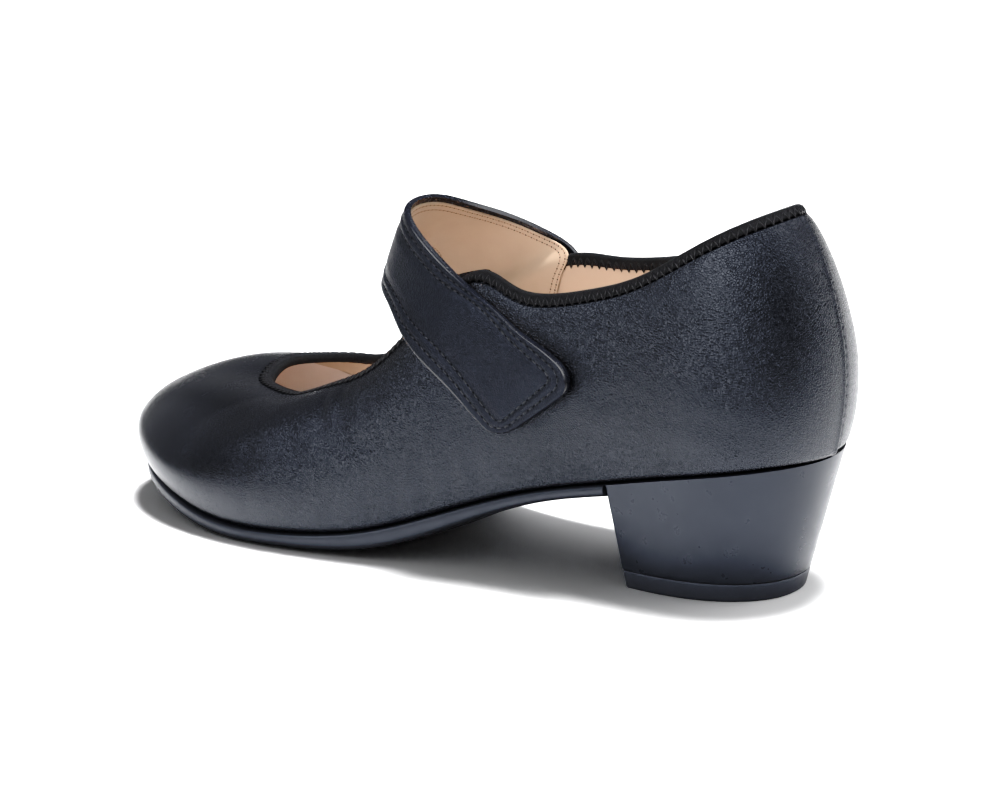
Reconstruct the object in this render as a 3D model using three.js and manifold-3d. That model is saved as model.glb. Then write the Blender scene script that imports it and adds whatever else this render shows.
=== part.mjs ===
// Block heel pump with a wide instep strap, left shoe.
// Millimetres, +Z up, toe towards -Y, heel towards +Y, outer (lateral) side towards +X.
import * as THREE from 'three';
import { mergeVertices } from 'three/addons/utils/BufferGeometryUtils.js';
import Module from 'manifold-3d';

// Named sizes of the last and of the pieces.
const LENGTH = 252; // feather line, heel back to toe tip
const BALL_WIDTH = 86; // feather line across the ball
const SEAT_HEIGHT = 41; // floor to feather line at the heel back
const BACK_HEIGHT = 113; // floor to topline at the back seam
const INSTEP_HEIGHT = 106; // floor to the top of the strap
const WALL = 1.9; // leather and lining together
const GAP = 0.3; // clearance between pieces that meet
const LAP_STEP = 0.8; // step of the lapped back seam
const LAP_REACH = 26; // how far the step takes to run out
const LAP_PAST = 2.2; // lap edge, past the centre on the inner side
const TAPE_COLLAR = 3.5; // depth of the binding on each side at the collar
const TAPE_THROAT = 5.2; // and round the throat
const TAPE_THICK = 0.55;
const SKIVE = 0.45; // thinning of the wall under the binding, each side
const SOLE_THICK = 4.6;
const SOLE_EDGE = 0.5; // sole edge outside the feather line
const INSOLE_THICK = 2.6;
const BREAST_TOP = 0.232; // heel breast at the sole, share of length from the back
const BREAST_FOOT = 0.223; // heel breast at the floor
const HEEL_BACK_FOOT = 0.043; // heel back at the floor
const HEEL_SQUARE = 2.3; // fullness of the heel's outline on the floor, 2 is an ellipse
const HEEL_TAPER = 0.82; // heel width at the floor over its width at the seat
const HEEL_PINCH = 0.16; // how much narrower the floor outline is at the breast
const HEEL_SHIFT = 0.040; // floor outline to the outer side, share of ball width
const LIFT_THICK = 5.5;
const STRAP_THICK = 2.6;
const TAB_CORNER = 8; // rounding of the strap's ends

const BALL_LIFT = SOLE_THICK + GAP + 0.5; // feather line over the floor at the ball

// A row per section round the foot, heel back, outer side, toe tip, inner side.
// Feather line: at = share of length from the heel back, side = share of ball width,
// rise = share of the way from the ball's feather height to the seat height.
// Topline: topAt, topSide likewise, topRise = share of the back height.
// Wall between them: turn = degrees of the arc used, full = its fullness, bulge = mm outwards.
const SECTIONS = rows('at side rise topAt topSide topRise turn full bulge', [
  [0.000, 0.000, 1.000, 0.052, 0.000, 0.985, 62, 2.00, 5.2],
  [0.020, 0.192, 1.000, 0.068, 0.144, 0.972, 62, 2.00, 5.0],
  [0.070, 0.306, 0.965, 0.110, 0.233, 0.925, 62, 2.00, 4.0],
  [0.150, 0.337, 0.870, 0.180, 0.267, 0.835, 60, 2.00, 3.5],
  [0.250, 0.333, 0.725, 0.260, 0.290, 0.775, 60, 2.00, 3.0],
  [0.340, 0.338, 0.580, 0.345, 0.299, 0.757, 62, 2.00, 2.7],
  [0.430, 0.374, 0.380, 0.412, 0.280, 0.790, 66, 2.10, 2.5],
  [0.550, 0.448, 0.110, 0.530, 0.291, 0.565, 72, 2.10, 2.0],
  [0.670, 0.495, 0.000, 0.617, 0.244, 0.442, 80, 2.20, 2.0],
  [0.780, 0.477, 0.000, 0.677, 0.203, 0.383, 84, 2.30, 2.0],
  [0.880, 0.374, 0.110, 0.722, 0.151, 0.358, 86, 2.50, 2.3],
  [0.955, 0.215, 0.215, 0.771, 0.081, 0.350, 88, 2.90, 2.6],
  [1.000, -0.052, 0.280, 0.806, -0.012, 0.350, 88, 3.40, 2.4],
  [0.960, -0.306, 0.225, 0.817, -0.128, 0.368, 88, 3.30, 2.2],
  [0.880, -0.453, 0.110, 0.797, -0.227, 0.370, 86, 2.60, 2.0],
  [0.780, -0.488, 0.015, 0.749, -0.292, 0.374, 84, 2.30, 2.0],
  [0.670, -0.453, 0.020, 0.694, -0.322, 0.397, 80, 2.20, 2.0],
  [0.550, -0.366, 0.145, 0.560, -0.339, 0.557, 72, 2.10, 2.0],
  [0.430, -0.308, 0.410, 0.425, -0.314, 0.733, 66, 2.10, 2.5],
  [0.340, -0.308, 0.610, 0.345, -0.302, 0.747, 62, 2.00, 2.7],
  [0.250, -0.320, 0.750, 0.260, -0.297, 0.770, 60, 2.00, 3.0],
  [0.150, -0.331, 0.885, 0.180, -0.270, 0.825, 60, 2.00, 3.5],
  [0.070, -0.302, 0.965, 0.110, -0.233, 0.915, 62, 2.00, 4.0],
  [0.020, -0.188, 1.000, 0.068, -0.144, 0.968, 62, 2.00, 5.0],
]);
const TIP_ROW = 12;

// Sole, a row per station from the waist to the toe: edge = share of SOLE_THICK,
// crown = mm the middle of the tread hangs below its edge.
const SOLE = rows('at edge crown', [
  [0.00, 0.85, 0.3],
  [0.20, 0.85, 0.3],
  [0.30, 0.78, 0.5],
  [0.38, 0.95, 1.2],
  [0.46, 1.30, 2.2],
  [0.55, 1.35, 2.2],
  [0.66, 1.00, 1.4],
  [0.80, 1.00, 1.1],
  [1.00, 1.00, 0.4],
]);
const COLUMNS_PER_ROW = [4, 4, 3, 3, 3, 4, 4, 4, 4, 4, 4, 4, 4, 4, 4, 4, 6, 3, 3, 3, 3, 3, 4, 4];

// Strap, a row per cross line from the inner end over the instep to the outer end.
// On the quarter: round = share of the way round the feather line, up = share of the wall,
// lift = gap under the strap in mm. The inner end spreads towards the toe.
const STRAP_INNER = rows('rearRound rearUp frontRound frontUp lift', [
  [0.806, 0.52, 0.736, 0.46, 0.6],
  [0.800, 0.70, 0.730, 0.66, 0.7],
  [0.792, 0.88, 0.725, 0.90, 1.1],
]);
// Over the instep: side = share of ball width, at = share of length, rise = share of INSTEP_HEIGHT.
const STRAP_ARCH = rows('rearSide rearAt rearRise frontSide frontAt frontRise', [
  [-0.344, 0.450, 0.833, -0.374, 0.634, 0.656],
  [-0.291, 0.492, 0.885, -0.326, 0.633, 0.725],
  [-0.169, 0.520, 0.937, -0.212, 0.624, 0.777],
  [0.012, 0.533, 0.990, -0.012, 0.609, 0.797],
  [0.163, 0.534, 0.995, 0.140, 0.585, 0.771],
  [0.250, 0.520, 0.972, 0.233, 0.567, 0.748],
  [0.308, 0.482, 0.912, 0.300, 0.541, 0.717],
]);
const STRAP_OUTER = rows('rearRound rearUp frontRound frontUp lift', [
  [0.222, 0.95, 0.253, 0.84, 2.0],
  [0.196, 0.82, 0.237, 0.60, 1.5],
  [0.173, 0.74, 0.217, 0.42, 1.2],
  [0.154, 0.63, 0.199, 0.30, 1.1],
  [0.134, 0.47, 0.187, 0.23, 1.4],
]);

const wasm = await Module();
wasm.setup();

function rows(names, table) {
  const keys = names.split(' ');
  return table.map((values) => Object.fromEntries(keys.map((key, i) => [key, values[i]])));
}

// Smooth curve through values at knots, closed when a period is given.
function spline(knots, values, period) {
  const n = knots.length;
  const size = n;
  const step = (i) => (i === n - 1 ? (period ? knots[0] + period - knots[i] : 1) : knots[i + 1] - knots[i]);
  const wrap = (i) => (i + n) % n;
  const grid = Array.from({ length: size }, () => new Array(size + 1).fill(0));
  for (let i = 0; i < n; i += 1) {
    const inner = period || (i > 0 && i < n - 1);
    if (!inner) {
      grid[i][i] = 1;
      continue;
    }
    const before = step(wrap(i - 1));
    const after = step(i);
    grid[i][wrap(i - 1)] += before;
    grid[i][i] += 2 * (before + after);
    grid[i][wrap(i + 1)] += after;
    const rise = (values[wrap(i + 1)] - values[i]) / after;
    const fall = (values[i] - values[wrap(i - 1)]) / before;
    grid[i][size] = 6 * (rise - fall);
  }
  for (let c = 0; c < size; c += 1) {
    let best = c;
    for (let r = c + 1; r < size; r += 1) if (Math.abs(grid[r][c]) > Math.abs(grid[best][c])) best = r;
    [grid[c], grid[best]] = [grid[best], grid[c]];
    for (let r = 0; r < size; r += 1) {
      if (r === c || grid[r][c] === 0) continue;
      const k = grid[r][c] / grid[c][c];
      for (let j = c; j <= size; j += 1) grid[r][j] -= k * grid[c][j];
    }
  }
  const bend = grid.map((row, i) => row[size] / row[i]);
  return (at) => {
    const x = period ? ((at - knots[0]) % period + period) % period + knots[0] : at;
    let i = n - (period ? 1 : 2);
    while (i > 0 && knots[i] > x) i -= 1;
    const h = step(i);
    const b = (x - knots[i]) / h;
    const a = 1 - b;
    const j = wrap(i + 1);
    return a * values[i] + b * values[j]
      + ((a * a * a - a) * bend[i] + (b * b * b - b) * bend[j]) * h * h / 6;
  };
}

const mix = (a, b, k) => a + (b - a) * k;
const mix3 = (a, b, k) => [mix(a[0], b[0], k), mix(a[1], b[1], k), mix(a[2], b[2], k)];
const ease = (k) => {
  const x = Math.min(1, Math.max(0, k));
  return x * x * (3 - 2 * x);
};
const alongY = (at) => LENGTH * (0.5 - at);

// The two rings as closed curves over the way round the feather line.
const footRows = SECTIONS.map((r) => [
  r.side * BALL_WIDTH, alongY(r.at), mix(BALL_LIFT, SEAT_HEIGHT, r.rise),
]);
const topRows = SECTIONS.map((r) => [r.topSide * BALL_WIDTH, alongY(r.topAt), r.topRise * BACK_HEIGHT]);
const way = [0];
footRows.forEach((p, i) => {
  const next = footRows[(i + 1) % footRows.length];
  way.push(way[i] + Math.hypot(next[0] - p[0], next[1] - p[1]));
});
const ROUND = way.pop();
const curve = (list) => spline(way, list, ROUND);
const footCurve = [0, 1, 2].map((k) => curve(footRows.map((p) => p[k])));
const topCurve = [0, 1, 2].map((k) => curve(topRows.map((p) => p[k])));
const turnCurve = curve(SECTIONS.map((r) => r.turn * Math.PI / 180));
const fullCurve = curve(SECTIONS.map((r) => r.full));
const bulgeCurve = curve(SECTIONS.map((r) => r.bulge));
const foot = (q) => footCurve.map((f) => f(q));
const topline = (q) => topCurve.map((f) => f(q));

// Outward direction of the feather line in plan.
function outward(q) {
  const a = foot(q - 0.05);
  const b = foot(q + 0.05);
  const d = Math.hypot(b[0] - a[0], b[1] - a[1]);
  return [-(b[1] - a[1]) / d, (b[0] - a[0]) / d];
}

// Point of the last at q round and t up the wall, 0 the feather line, 1 the topline.
function last(q, t) {
  const low = foot(q);
  const high = topline(q);
  const turn = turnCurve(q);
  const power = 2 / fullCurve(q);
  const lift = (k) => Math.abs(Math.sin(turn * k)) ** power;
  const lean = (k) => 1 - Math.abs(Math.cos(turn * k)) ** power;
  const v = lift(t) / lift(1);
  const h = lean(t) / lean(1);
  const swell = bulgeCurve(q) * Math.sin(Math.PI * Math.min(1, v) ** 0.8);
  const out = outward(q);
  return [
    mix(low[0], high[0], h) + out[0] * swell,
    mix(low[1], high[1], h) + out[1] * swell,
    mix(low[2], high[2], v),
  ];
}

function frameAt(q, t) {
  const e = 0.02;
  const lowT = Math.max(0.004, t - 0.01);
  const highT = Math.min(1, Math.max(t, 0.004) + 0.01);
  const along = new THREE.Vector3(...last(q + e, Math.max(t, 0.004)))
    .sub(new THREE.Vector3(...last(q - e, Math.max(t, 0.004))));
  const up = new THREE.Vector3(...last(q, highT)).sub(new THREE.Vector3(...last(q, lowT))).normalize();
  const out = new THREE.Vector3().crossVectors(up, along).normalize();
  const plan = outward(q);
  if (out.x * plan[0] + out.y * plan[1] < 0 && t < 0.5) out.negate();
  return { up, out };
}

// The last moved off along its normal, and past the topline along the wall when drop is negative.
function shell(q, t, off, past = 0) {
  const p = last(q, t);
  const { up, out } = frameAt(q, t);
  return [
    p[0] + out.x * off + up.x * past,
    p[1] + out.y * off + up.y * past,
    p[2] + out.z * off + up.z * past,
  ];
}

// t at a depth in mm below the topline, measured down the wall.
function depthT(q, depth) {
  let t = 1;
  let gone = 0;
  let here = last(q, 1);
  while (gone < depth && t > 0.5) {
    const next = last(q, t - 0.002);
    const piece = Math.hypot(next[0] - here[0], next[1] - here[1], next[2] - here[2]);
    t -= 0.002 * Math.min(1, (depth - gone) / piece);
    gone += piece;
    here = next;
  }
  return t;
}

// Depth of the binding, wider round the throat.
function tape(q) {
  const at = 0.5 - topline(q)[1] / LENGTH;
  return mix(TAPE_COLLAR, TAPE_THROAT, ease((at - 0.48) / 0.2));
}

// The outer quarter laps over the inner one at the back: a step that runs out to the outer side.
function lap(q) {
  const x = q > ROUND / 2 ? q - ROUND : q;
  if (x < -LAP_PAST) return 0;
  return LAP_STEP * (1 - ease((x + LAP_PAST) / LAP_REACH));
}

const columns = [];
SECTIONS.forEach((row, i) => {
  const from = way[i];
  const to = i + 1 < way.length ? way[i + 1] : ROUND;
  for (let k = 0; k < COLUMNS_PER_ROW[i]; k += 1) columns.push(mix(from, to, k / COLUMNS_PER_ROW[i]));
});
const lapColumns = [ROUND - LAP_PAST - 0.2, ROUND - LAP_PAST + 0.001];
lapColumns.forEach((q) => columns.push(q));
columns.sort((a, b) => a - b);

// Triangle soup to a closed mesh.
function meshOf(name, triangles, look) {
  const geometry = new THREE.BufferGeometry();
  geometry.setAttribute('position', new THREE.Float32BufferAttribute(triangles.flat(2), 3));
  return meshFrom(name, mergeVertices(geometry, 1e-4), look);
}
function meshFrom(name, geometry, look) {
  geometry.computeVertexNormals();
  const material = new THREE.MeshStandardMaterial(look);
  const mesh = new THREE.Mesh(geometry, material);
  mesh.name = name;
  return mesh;
}
const same = (a, b) => Math.hypot(a[0] - b[0], a[1] - b[1], a[2] - b[2]) < 1e-6;
function quad(list, a, b, c, d) {
  if (!same(a, b) && !same(b, c) && !same(a, c)) list.push([a, b, c]);
  if (!same(a, c) && !same(c, d) && !same(a, d)) list.push([a, c, d]);
}
// A grid closed both ways: rings of points, each ring a closed section.
function loopGrid(sections) {
  const list = [];
  sections.forEach((section, i) => {
    const next = sections[(i + 1) % sections.length];
    section.forEach((p, j) => {
      const k = (j + 1) % section.length;
      quad(list, p, section[k], next[k], next[j]);
    });
  });
  return list;
}
function solidOf(triangles) {
  const geometry = new THREE.BufferGeometry();
  geometry.setAttribute('position', new THREE.Float32BufferAttribute(triangles.flat(2), 3));
  const merged = mergeVertices(geometry, 1e-4);
  const vertProperties = new Float32Array(merged.attributes.position.array);
  const triVerts = new Uint32Array(merged.index.array);
  return new wasm.Manifold(new wasm.Mesh({ numProp: 3, vertProperties, triVerts }));
}
function geometryOf(solid) {
  const made = solid.getMesh();
  const geometry = new THREE.BufferGeometry();
  const positions = new Float32Array(made.numVert * 3);
  for (let i = 0; i < made.numVert; i += 1) {
    for (let k = 0; k < 3; k += 1) positions[3 * i + k] = made.vertProperties[made.numProp * i + k];
  }
  geometry.setAttribute('position', new THREE.BufferAttribute(positions, 3));
  geometry.setIndex(new THREE.BufferAttribute(new Uint32Array(made.triVerts), 1));
  return geometry;
}
function box(x0, x1, y0, y1, z0, z1) {
  return wasm.Manifold.cube([x1 - x0, y1 - y0, z1 - z0]).translate([x0, y0, z0]);
}

// Upper: one hollow wall, open at the top and underneath, thinned where the binding grips it.
const UPPER_ROWS = 10;
function upperSection(q) {
  const gripT = depthT(q, tape(q) + GAP + 0.3);
  const gripEnd = depthT(q, tape(q) + GAP);
  const rimT = depthT(q, TAPE_THICK + GAP + 0.1);
  const outer = [];
  const inner = [];
  for (let i = 0; i <= UPPER_ROWS; i += 1) {
    const t = gripT * i / UPPER_ROWS;
    outer.push(shell(q, t, lap(q)));
    inner.push(shell(q, t, -WALL));
  }
  [gripEnd, mix(gripEnd, rimT, 0.5), rimT].forEach((t) => {
    outer.push(shell(q, t, lap(q) * 0.4 - SKIVE));
    inner.push(shell(q, t, SKIVE - WALL));
  });
  return outer.concat(inner.reverse());
}
const upper = meshOf('upper', loopGrid(columns.map(upperSection)), { color: 0x1a1c22, roughness: 0.35 });

// Binding: a folded tape over the rim of the upper.
function bindingSection(q) {
  const extra = lap(q) * 0.4;
  const outIn = GAP - SKIVE;
  const outOut = outIn + TAPE_THICK;
  const inIn = SKIVE - WALL - GAP;
  const inOut = inIn - TAPE_THICK;
  const middle = mix(outOut, inOut, 0.5);
  const lowT = depthT(q, tape(q));
  const shoulder = depthT(q, TAPE_THICK + 0.6);
  const roof = depthT(q, TAPE_THICK + 0.1);
  const halfT = mix(lowT, roof, 0.5);
  return [
    shell(q, lowT, outOut + extra),
    shell(q, halfT, outOut + extra),
    shell(q, shoulder, outOut + extra),
    shell(q, 1, mix(outOut + extra, middle, 0.35), -0.35),
    shell(q, 1, middle, 0),
    shell(q, 1, mix(inOut, middle, 0.35), -0.35),
    shell(q, shoulder, inOut),
    shell(q, lowT, inOut),
    shell(q, lowT, inIn),
    shell(q, roof, inIn),
    shell(q, roof, outIn + extra),
    shell(q, halfT, outIn + extra),
    shell(q, lowT, outIn + extra),
  ];
}
const binding = meshOf('binding', loopGrid(columns.map(bindingSection)), { color: 0x0d0e10, roughness: 0.9 });

// Plates that follow the feather line: stations pair the outer side with the inner side.
function stationQ(s) {
  const q = (x) => {
    const i = Math.floor(x);
    const to = i + 1 < way.length ? way[i + 1] : ROUND;
    return i >= way.length ? ROUND : mix(way[i], to, x - i);
  };
  return [q(s), q(2 * TIP_ROW - s)];
}
const STATIONS = [];
for (let i = 0; i <= 46; i += 1) {
  const k = i / 46;
  STATIONS.push(TIP_ROW * mix(k, (1 - Math.cos(Math.PI * k)) / 2, 0.55));
}
function edgePoint(q, out, drop) {
  const p = foot(q);
  const n = outward(q);
  return [p[0] + n[0] * out, p[1] + n[1] * out, p[2] + drop];
}
// A plate under the feather line: levels give the outset and the drop of each turn of its rim,
// dish the sag of its underside, all over the share of length.
function plateSolid(levels, dish, across) {
  const list = [];
  const lastLevel = levels.length - 1;
  const cache = new Map();
  const point = (i, j, l) => {
    const key = (i * 100 + j) * 10 + l;
    if (cache.has(key)) return cache.get(key);
    const [outerQ, innerQ] = stationQ(STATIONS[i]);
    const at = 0.5 - foot(outerQ)[1] / LENGTH;
    const [out, drop] = levels[l](at);
    const k = j / across;
    const p = mix3(edgePoint(innerQ, out, drop), edgePoint(outerQ, out, drop), k);
    const w = 2 * k - 1;
    const ends = ease(STATIONS[i] / 2) * ease((TIP_ROW - STATIONS[i]) / 2);
    if (l === lastLevel) p[2] -= dish(at) * (1 - w * w) * ends;
    cache.set(key, p);
    return p;
  };
  for (let i = 0; i + 1 < STATIONS.length; i += 1) {
    for (let j = 0; j < across; j += 1) {
      quad(list, point(i, j, 0), point(i + 1, j, 0), point(i + 1, j + 1, 0), point(i, j + 1, 0));
      quad(list, point(i, j, lastLevel), point(i, j + 1, lastLevel),
        point(i + 1, j + 1, lastLevel), point(i + 1, j, lastLevel));
    }
    for (let l = 0; l < lastLevel; l += 1) {
      quad(list, point(i, across, l), point(i + 1, across, l),
        point(i + 1, across, l + 1), point(i, across, l + 1));
      quad(list, point(i, 0, l), point(i, 0, l + 1), point(i + 1, 0, l + 1), point(i + 1, 0, l));
    }
  }
  return solidOf(list);
}

const BREAST_Y = alongY(BREAST_TOP);
const soleEdge = spline(SOLE.map((r) => r.at), SOLE.map((r) => r.edge * SOLE_THICK));
const soleCrown = spline(SOLE.map((r) => r.at), SOLE.map((r) => r.crown));
const soleLevels = [
  () => [SOLE_EDGE - 0.3, -GAP - 0.05],
  () => [SOLE_EDGE, -GAP - 0.35],
  (at) => [SOLE_EDGE + 0.1, -GAP - soleEdge(at) * 0.5],
  (at) => [SOLE_EDGE - 0.4, -GAP - soleEdge(at) * 0.85],
  (at) => [SOLE_EDGE - 2.0 - Math.max(0, soleEdge(at) - SOLE_THICK) * 1.6, -GAP - soleEdge(at)],
];
const wholeSole = plateSolid(soleLevels, soleCrown, 8);
const floorCut = box(-200, 200, -300, 300, -60, 0);
const backCut = box(-200, 200, BREAST_Y - GAP, 300, -60, 200);
const outsole = meshFrom('outsole', geometryOf(wholeSole.subtract(floorCut).subtract(backCut)),
  { color: 0x17181b, roughness: 0.6 });

const insoleLevels = [
  () => [-(WALL + GAP + 0.1), INSOLE_THICK],
  () => [-(WALL + GAP + 0.1), 0],
];
const insole = meshFrom('insole', geometryOf(plateSolid(insoleLevels, () => 0, 4)),
  { color: 0xcdb49c, roughness: 0.8 });

// Heel: lines from the feather line down to a smaller outline of the same shape on the floor.
function heelPoint(p, height) {
  const half = foot(outerBreast)[0];
  const turn = Math.atan2(p[0] / half, (p[1] - BREAST_Y) / (alongY(0) - BREAST_Y));
  const reach = (Math.abs(Math.sin(turn)) ** HEEL_SQUARE + Math.abs(Math.cos(turn)) ** HEEL_SQUARE)
    ** (-1 / HEEL_SQUARE);
  const onBreast = Math.abs(p[1] - BREAST_Y) < 0.01;
  const side = onBreast ? p[0] / half : reach * Math.sin(turn);
  const back = onBreast ? 0 : reach * Math.cos(turn);
  const pinch = 1 - HEEL_PINCH * (1 - back) ** 2;
  const low = [
    HEEL_SHIFT * BALL_WIDTH + side * half * HEEL_TAPER * pinch,
    alongY(mix(BREAST_FOOT, HEEL_BACK_FOOT, back)),
    0,
  ];
  return mix3(low, p, height / p[2]);
}
const heelTop = [];
const heelSpan = (list) => list.filter((q) => foot(q)[1] > BREAST_Y + 1);
const halfQ = way[TIP_ROW];
function breastQ(from, to) {
  let a = from;
  let b = to;
  for (let i = 0; i < 40; i += 1) {
    const m = (a + b) / 2;
    if (foot(m)[1] > BREAST_Y) a = m;
    else b = m;
  }
  return (a + b) / 2;
}
const outerBreast = breastQ(0, halfQ);
const innerBreast = breastQ(ROUND, halfQ);
const around = heelSpan(columns.filter((q) => !lapColumns.includes(q)));
const loop = [innerBreast]
  .concat(around.filter((q) => q > halfQ))
  .concat(around.filter((q) => q < halfQ))
  .concat([outerBreast]);
loop.forEach((q) => heelTop.push(edgePoint(q, 0.1, 0)));
const BREAST_STEPS = 6;
for (let i = 1; i < BREAST_STEPS; i += 1) {
  const k = i / BREAST_STEPS;
  const p = mix3(heelTop[loop.length - 1], heelTop[0], k);
  heelTop.push(p);
}
function heelSolid(low, high) {
  const list = [];
  const heights = high === null ? [low, SEAT_HEIGHT * 0.45, null] : [low, high];
  const ringAt = (height) => heelTop.map((p) => heelPoint(p, height === null ? p[2] + 3 : height));
  const ringsList = heights.map(ringAt);
  for (let r = 0; r + 1 < ringsList.length; r += 1) {
    const a = ringsList[r];
    const b = ringsList[r + 1];
    a.forEach((p, i) => {
      const j = (i + 1) % a.length;
      quad(list, p, b[i], b[j], a[j]);
    });
  }
  const cap = (ring, flip) => {
    const mid = [0, 1, 2].map((k) => ring.reduce((sum, p) => sum + p[k], 0) / ring.length);
    ring.forEach((p, i) => {
      const next = ring[(i + 1) % ring.length];
      list.push(flip ? [mid, p, next] : [mid, next, p]);
    });
  };
  cap(ringsList[0], true);
  cap(ringsList[ringsList.length - 1], false);
  return solidOf(list);
}
const aboveSeat = plateSolid([() => [6, 30], () => [6, -GAP - 0.1]], () => 0, 8);
const heelBlock = meshFrom('heel_block', geometryOf(heelSolid(LIFT_THICK + GAP, null).subtract(aboveSeat)),
  { color: 0x26272a, roughness: 0.5 });
const topLift = meshFrom('top_lift', geometryOf(heelSolid(0, LIFT_THICK)), { color: 0x1b1c1e, roughness: 0.7 });

// Strap: cross lines of three points, smoothed along, with rounded ends.
const wallLine = (r) => {
  const off = r.lift + STRAP_THICK;
  const at = (k) => shell(ROUND * mix(r.rearRound, r.frontRound, k), mix(r.rearUp, r.frontUp, k), off);
  return [at(0), at(0.5), at(1)];
};
const archLine = (r) => {
  const rear = [r.rearSide * BALL_WIDTH, alongY(r.rearAt), r.rearRise * INSTEP_HEIGHT];
  const front = [r.frontSide * BALL_WIDTH, alongY(r.frontAt), r.frontRise * INSTEP_HEIGHT];
  return [rear, mix3(rear, front, 0.5), front];
};
const strapLines = STRAP_INNER.map(wallLine)
  .concat(STRAP_ARCH.map(archLine))
  .concat(STRAP_OUTER.map(wallLine));
const strapWay = [0];
strapLines.slice(1).forEach((line, i) => {
  const d = Math.hypot(...[0, 1, 2].map((k) => line[1][k] - strapLines[i][1][k]));
  strapWay.push(strapWay[i] + d);
});
const STRAP_RUN = strapWay[strapWay.length - 1];
const strapCurves = [0, 1, 2].map((j) => [0, 1, 2].map((k) => spline(strapWay, strapLines.map((l) => l[j][k]))));
// Point of the strap's outer face: s along in mm, w = 0 rear edge to 1 front edge.
function strapFace(s, w) {
  const p = strapCurves.map((c) => c.map((f) => f(s)));
  const a = (1 - w) * (1 - 2 * w);
  const b = 4 * w * (1 - w);
  const c = w * (2 * w - 1);
  return [0, 1, 2].map((k) => a * p[0][k] + b * p[1][k] + c * p[2][k]);
}
function strapPoint(s, w, depth) {
  const p = strapFace(s, w);
  const d = 0.2;
  const along = new THREE.Vector3(...strapFace(Math.min(STRAP_RUN, s + d), w))
    .sub(new THREE.Vector3(...strapFace(Math.max(0, s - d), w)));
  const across = new THREE.Vector3(...strapFace(s, w + 0.01)).sub(new THREE.Vector3(...strapFace(s, w - 0.01)));
  const n = new THREE.Vector3().crossVectors(along, across).normalize();
  return [p[0] + n.x * depth, p[1] + n.y * depth, p[2] + n.z * depth];
}
const STRAP_STEPS = 40;
const STRAP_ACROSS = 6;
function strapStations() {
  const list = [];
  const ends = [0, 0.06, 0.2, 0.42, 0.7, 1].map((k) => k * TAB_CORNER);
  ends.forEach((s) => list.push(s));
  for (let i = 1; i < STRAP_STEPS; i += 1) {
    list.push(mix(TAB_CORNER, STRAP_RUN - TAB_CORNER, i / STRAP_STEPS));
  }
  ends.reverse().forEach((s) => list.push(STRAP_RUN - s));
  return list;
}
const strapStationList = strapStations();
function strapSpan(s) {
  const width = Math.hypot(...[0, 1, 2].map((k) => strapFace(s, 1)[k] - strapFace(s, 0)[k]));
  const d = Math.min(s, STRAP_RUN - s);
  if (d >= TAB_CORNER) return 0;
  const inset = TAB_CORNER - Math.sqrt(Math.max(0, TAB_CORNER ** 2 - (TAB_CORNER - d) ** 2));
  return inset / width;
}
function strapSection(s) {
  const inset = strapSpan(s);
  const outer = [];
  const inner = [];
  for (let j = 0; j <= STRAP_ACROSS; j += 1) {
    const w = mix(inset, 1 - inset, j / STRAP_ACROSS);
    outer.push(strapPoint(s, w, 0));
    inner.push(strapPoint(s, w, STRAP_THICK));
  }
  return outer.concat(inner.reverse());
}
function strapTriangles() {
  const list = [];
  const sections = strapStationList.map(strapSection);
  for (let i = 0; i + 1 < sections.length; i += 1) {
    sections[i].forEach((p, j) => {
      const k = (j + 1) % sections[i].length;
      quad(list, p, sections[i][k], sections[i + 1][k], sections[i + 1][j]);
    });
  }
  const cap = (section, flip) => {
    const n = STRAP_ACROSS + 1;
    for (let j = 0; j < STRAP_ACROSS; j += 1) {
      const a = section[j];
      const b = section[j + 1];
      const c = section[2 * n - 2 - j];
      const d = section[2 * n - 1 - j];
      if (flip) quad(list, a, b, c, d);
      else quad(list, a, d, c, b);
    }
  };
  cap(sections[0], false);
  cap(sections[sections.length - 1], true);
  return list;
}
const strap = meshOf('strap', strapTriangles(), { color: 0x14161c, roughness: 0.6 });

// All pieces in one frame: bottom of the shoe at z = 0, centred in plan.
const shoe = new THREE.Group();
shoe.name = 'pump';
[upper, binding, strap, insole, outsole, heelBlock, topLift].forEach((mesh) => shoe.add(mesh));
const whole = new THREE.Box3().setFromObject(shoe);
const centre = whole.getCenter(new THREE.Vector3());
shoe.children.forEach((mesh) => mesh.geometry.translate(-centre.x, -centre.y, 0));

export default shoe;
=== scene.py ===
import math
import bpy
import bmesh
import numpy as np
from mathutils import Matrix, Vector


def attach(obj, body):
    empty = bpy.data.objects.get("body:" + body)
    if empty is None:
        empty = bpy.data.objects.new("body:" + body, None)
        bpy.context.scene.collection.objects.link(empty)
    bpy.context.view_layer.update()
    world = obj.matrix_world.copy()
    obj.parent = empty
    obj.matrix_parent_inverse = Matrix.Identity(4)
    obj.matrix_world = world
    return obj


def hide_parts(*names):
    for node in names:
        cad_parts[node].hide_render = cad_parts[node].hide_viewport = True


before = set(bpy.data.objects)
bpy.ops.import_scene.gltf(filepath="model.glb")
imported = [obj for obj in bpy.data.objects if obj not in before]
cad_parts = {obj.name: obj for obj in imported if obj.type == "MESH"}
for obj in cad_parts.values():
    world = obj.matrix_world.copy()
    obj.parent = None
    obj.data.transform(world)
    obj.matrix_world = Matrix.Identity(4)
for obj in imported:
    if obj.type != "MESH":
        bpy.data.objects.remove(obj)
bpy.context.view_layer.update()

# Named sizes in millimetres.
LENGTH = 252.0
BALL_WIDTH = 86.0
SEAT_HEIGHT = 41.0
BACK_HEIGHT = 113.0
INSTEP_HEIGHT = 106.0
WALL = 1.9
GAP = 0.3
LAP_STEP = 0.8
LAP_REACH = 26.0
TAPE_COLLAR = 3.5
TAPE_THROAT = 5.2
TAPE_THICK = 0.55
SKIVE = 0.45
SOLE_THICK = 4.6
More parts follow.
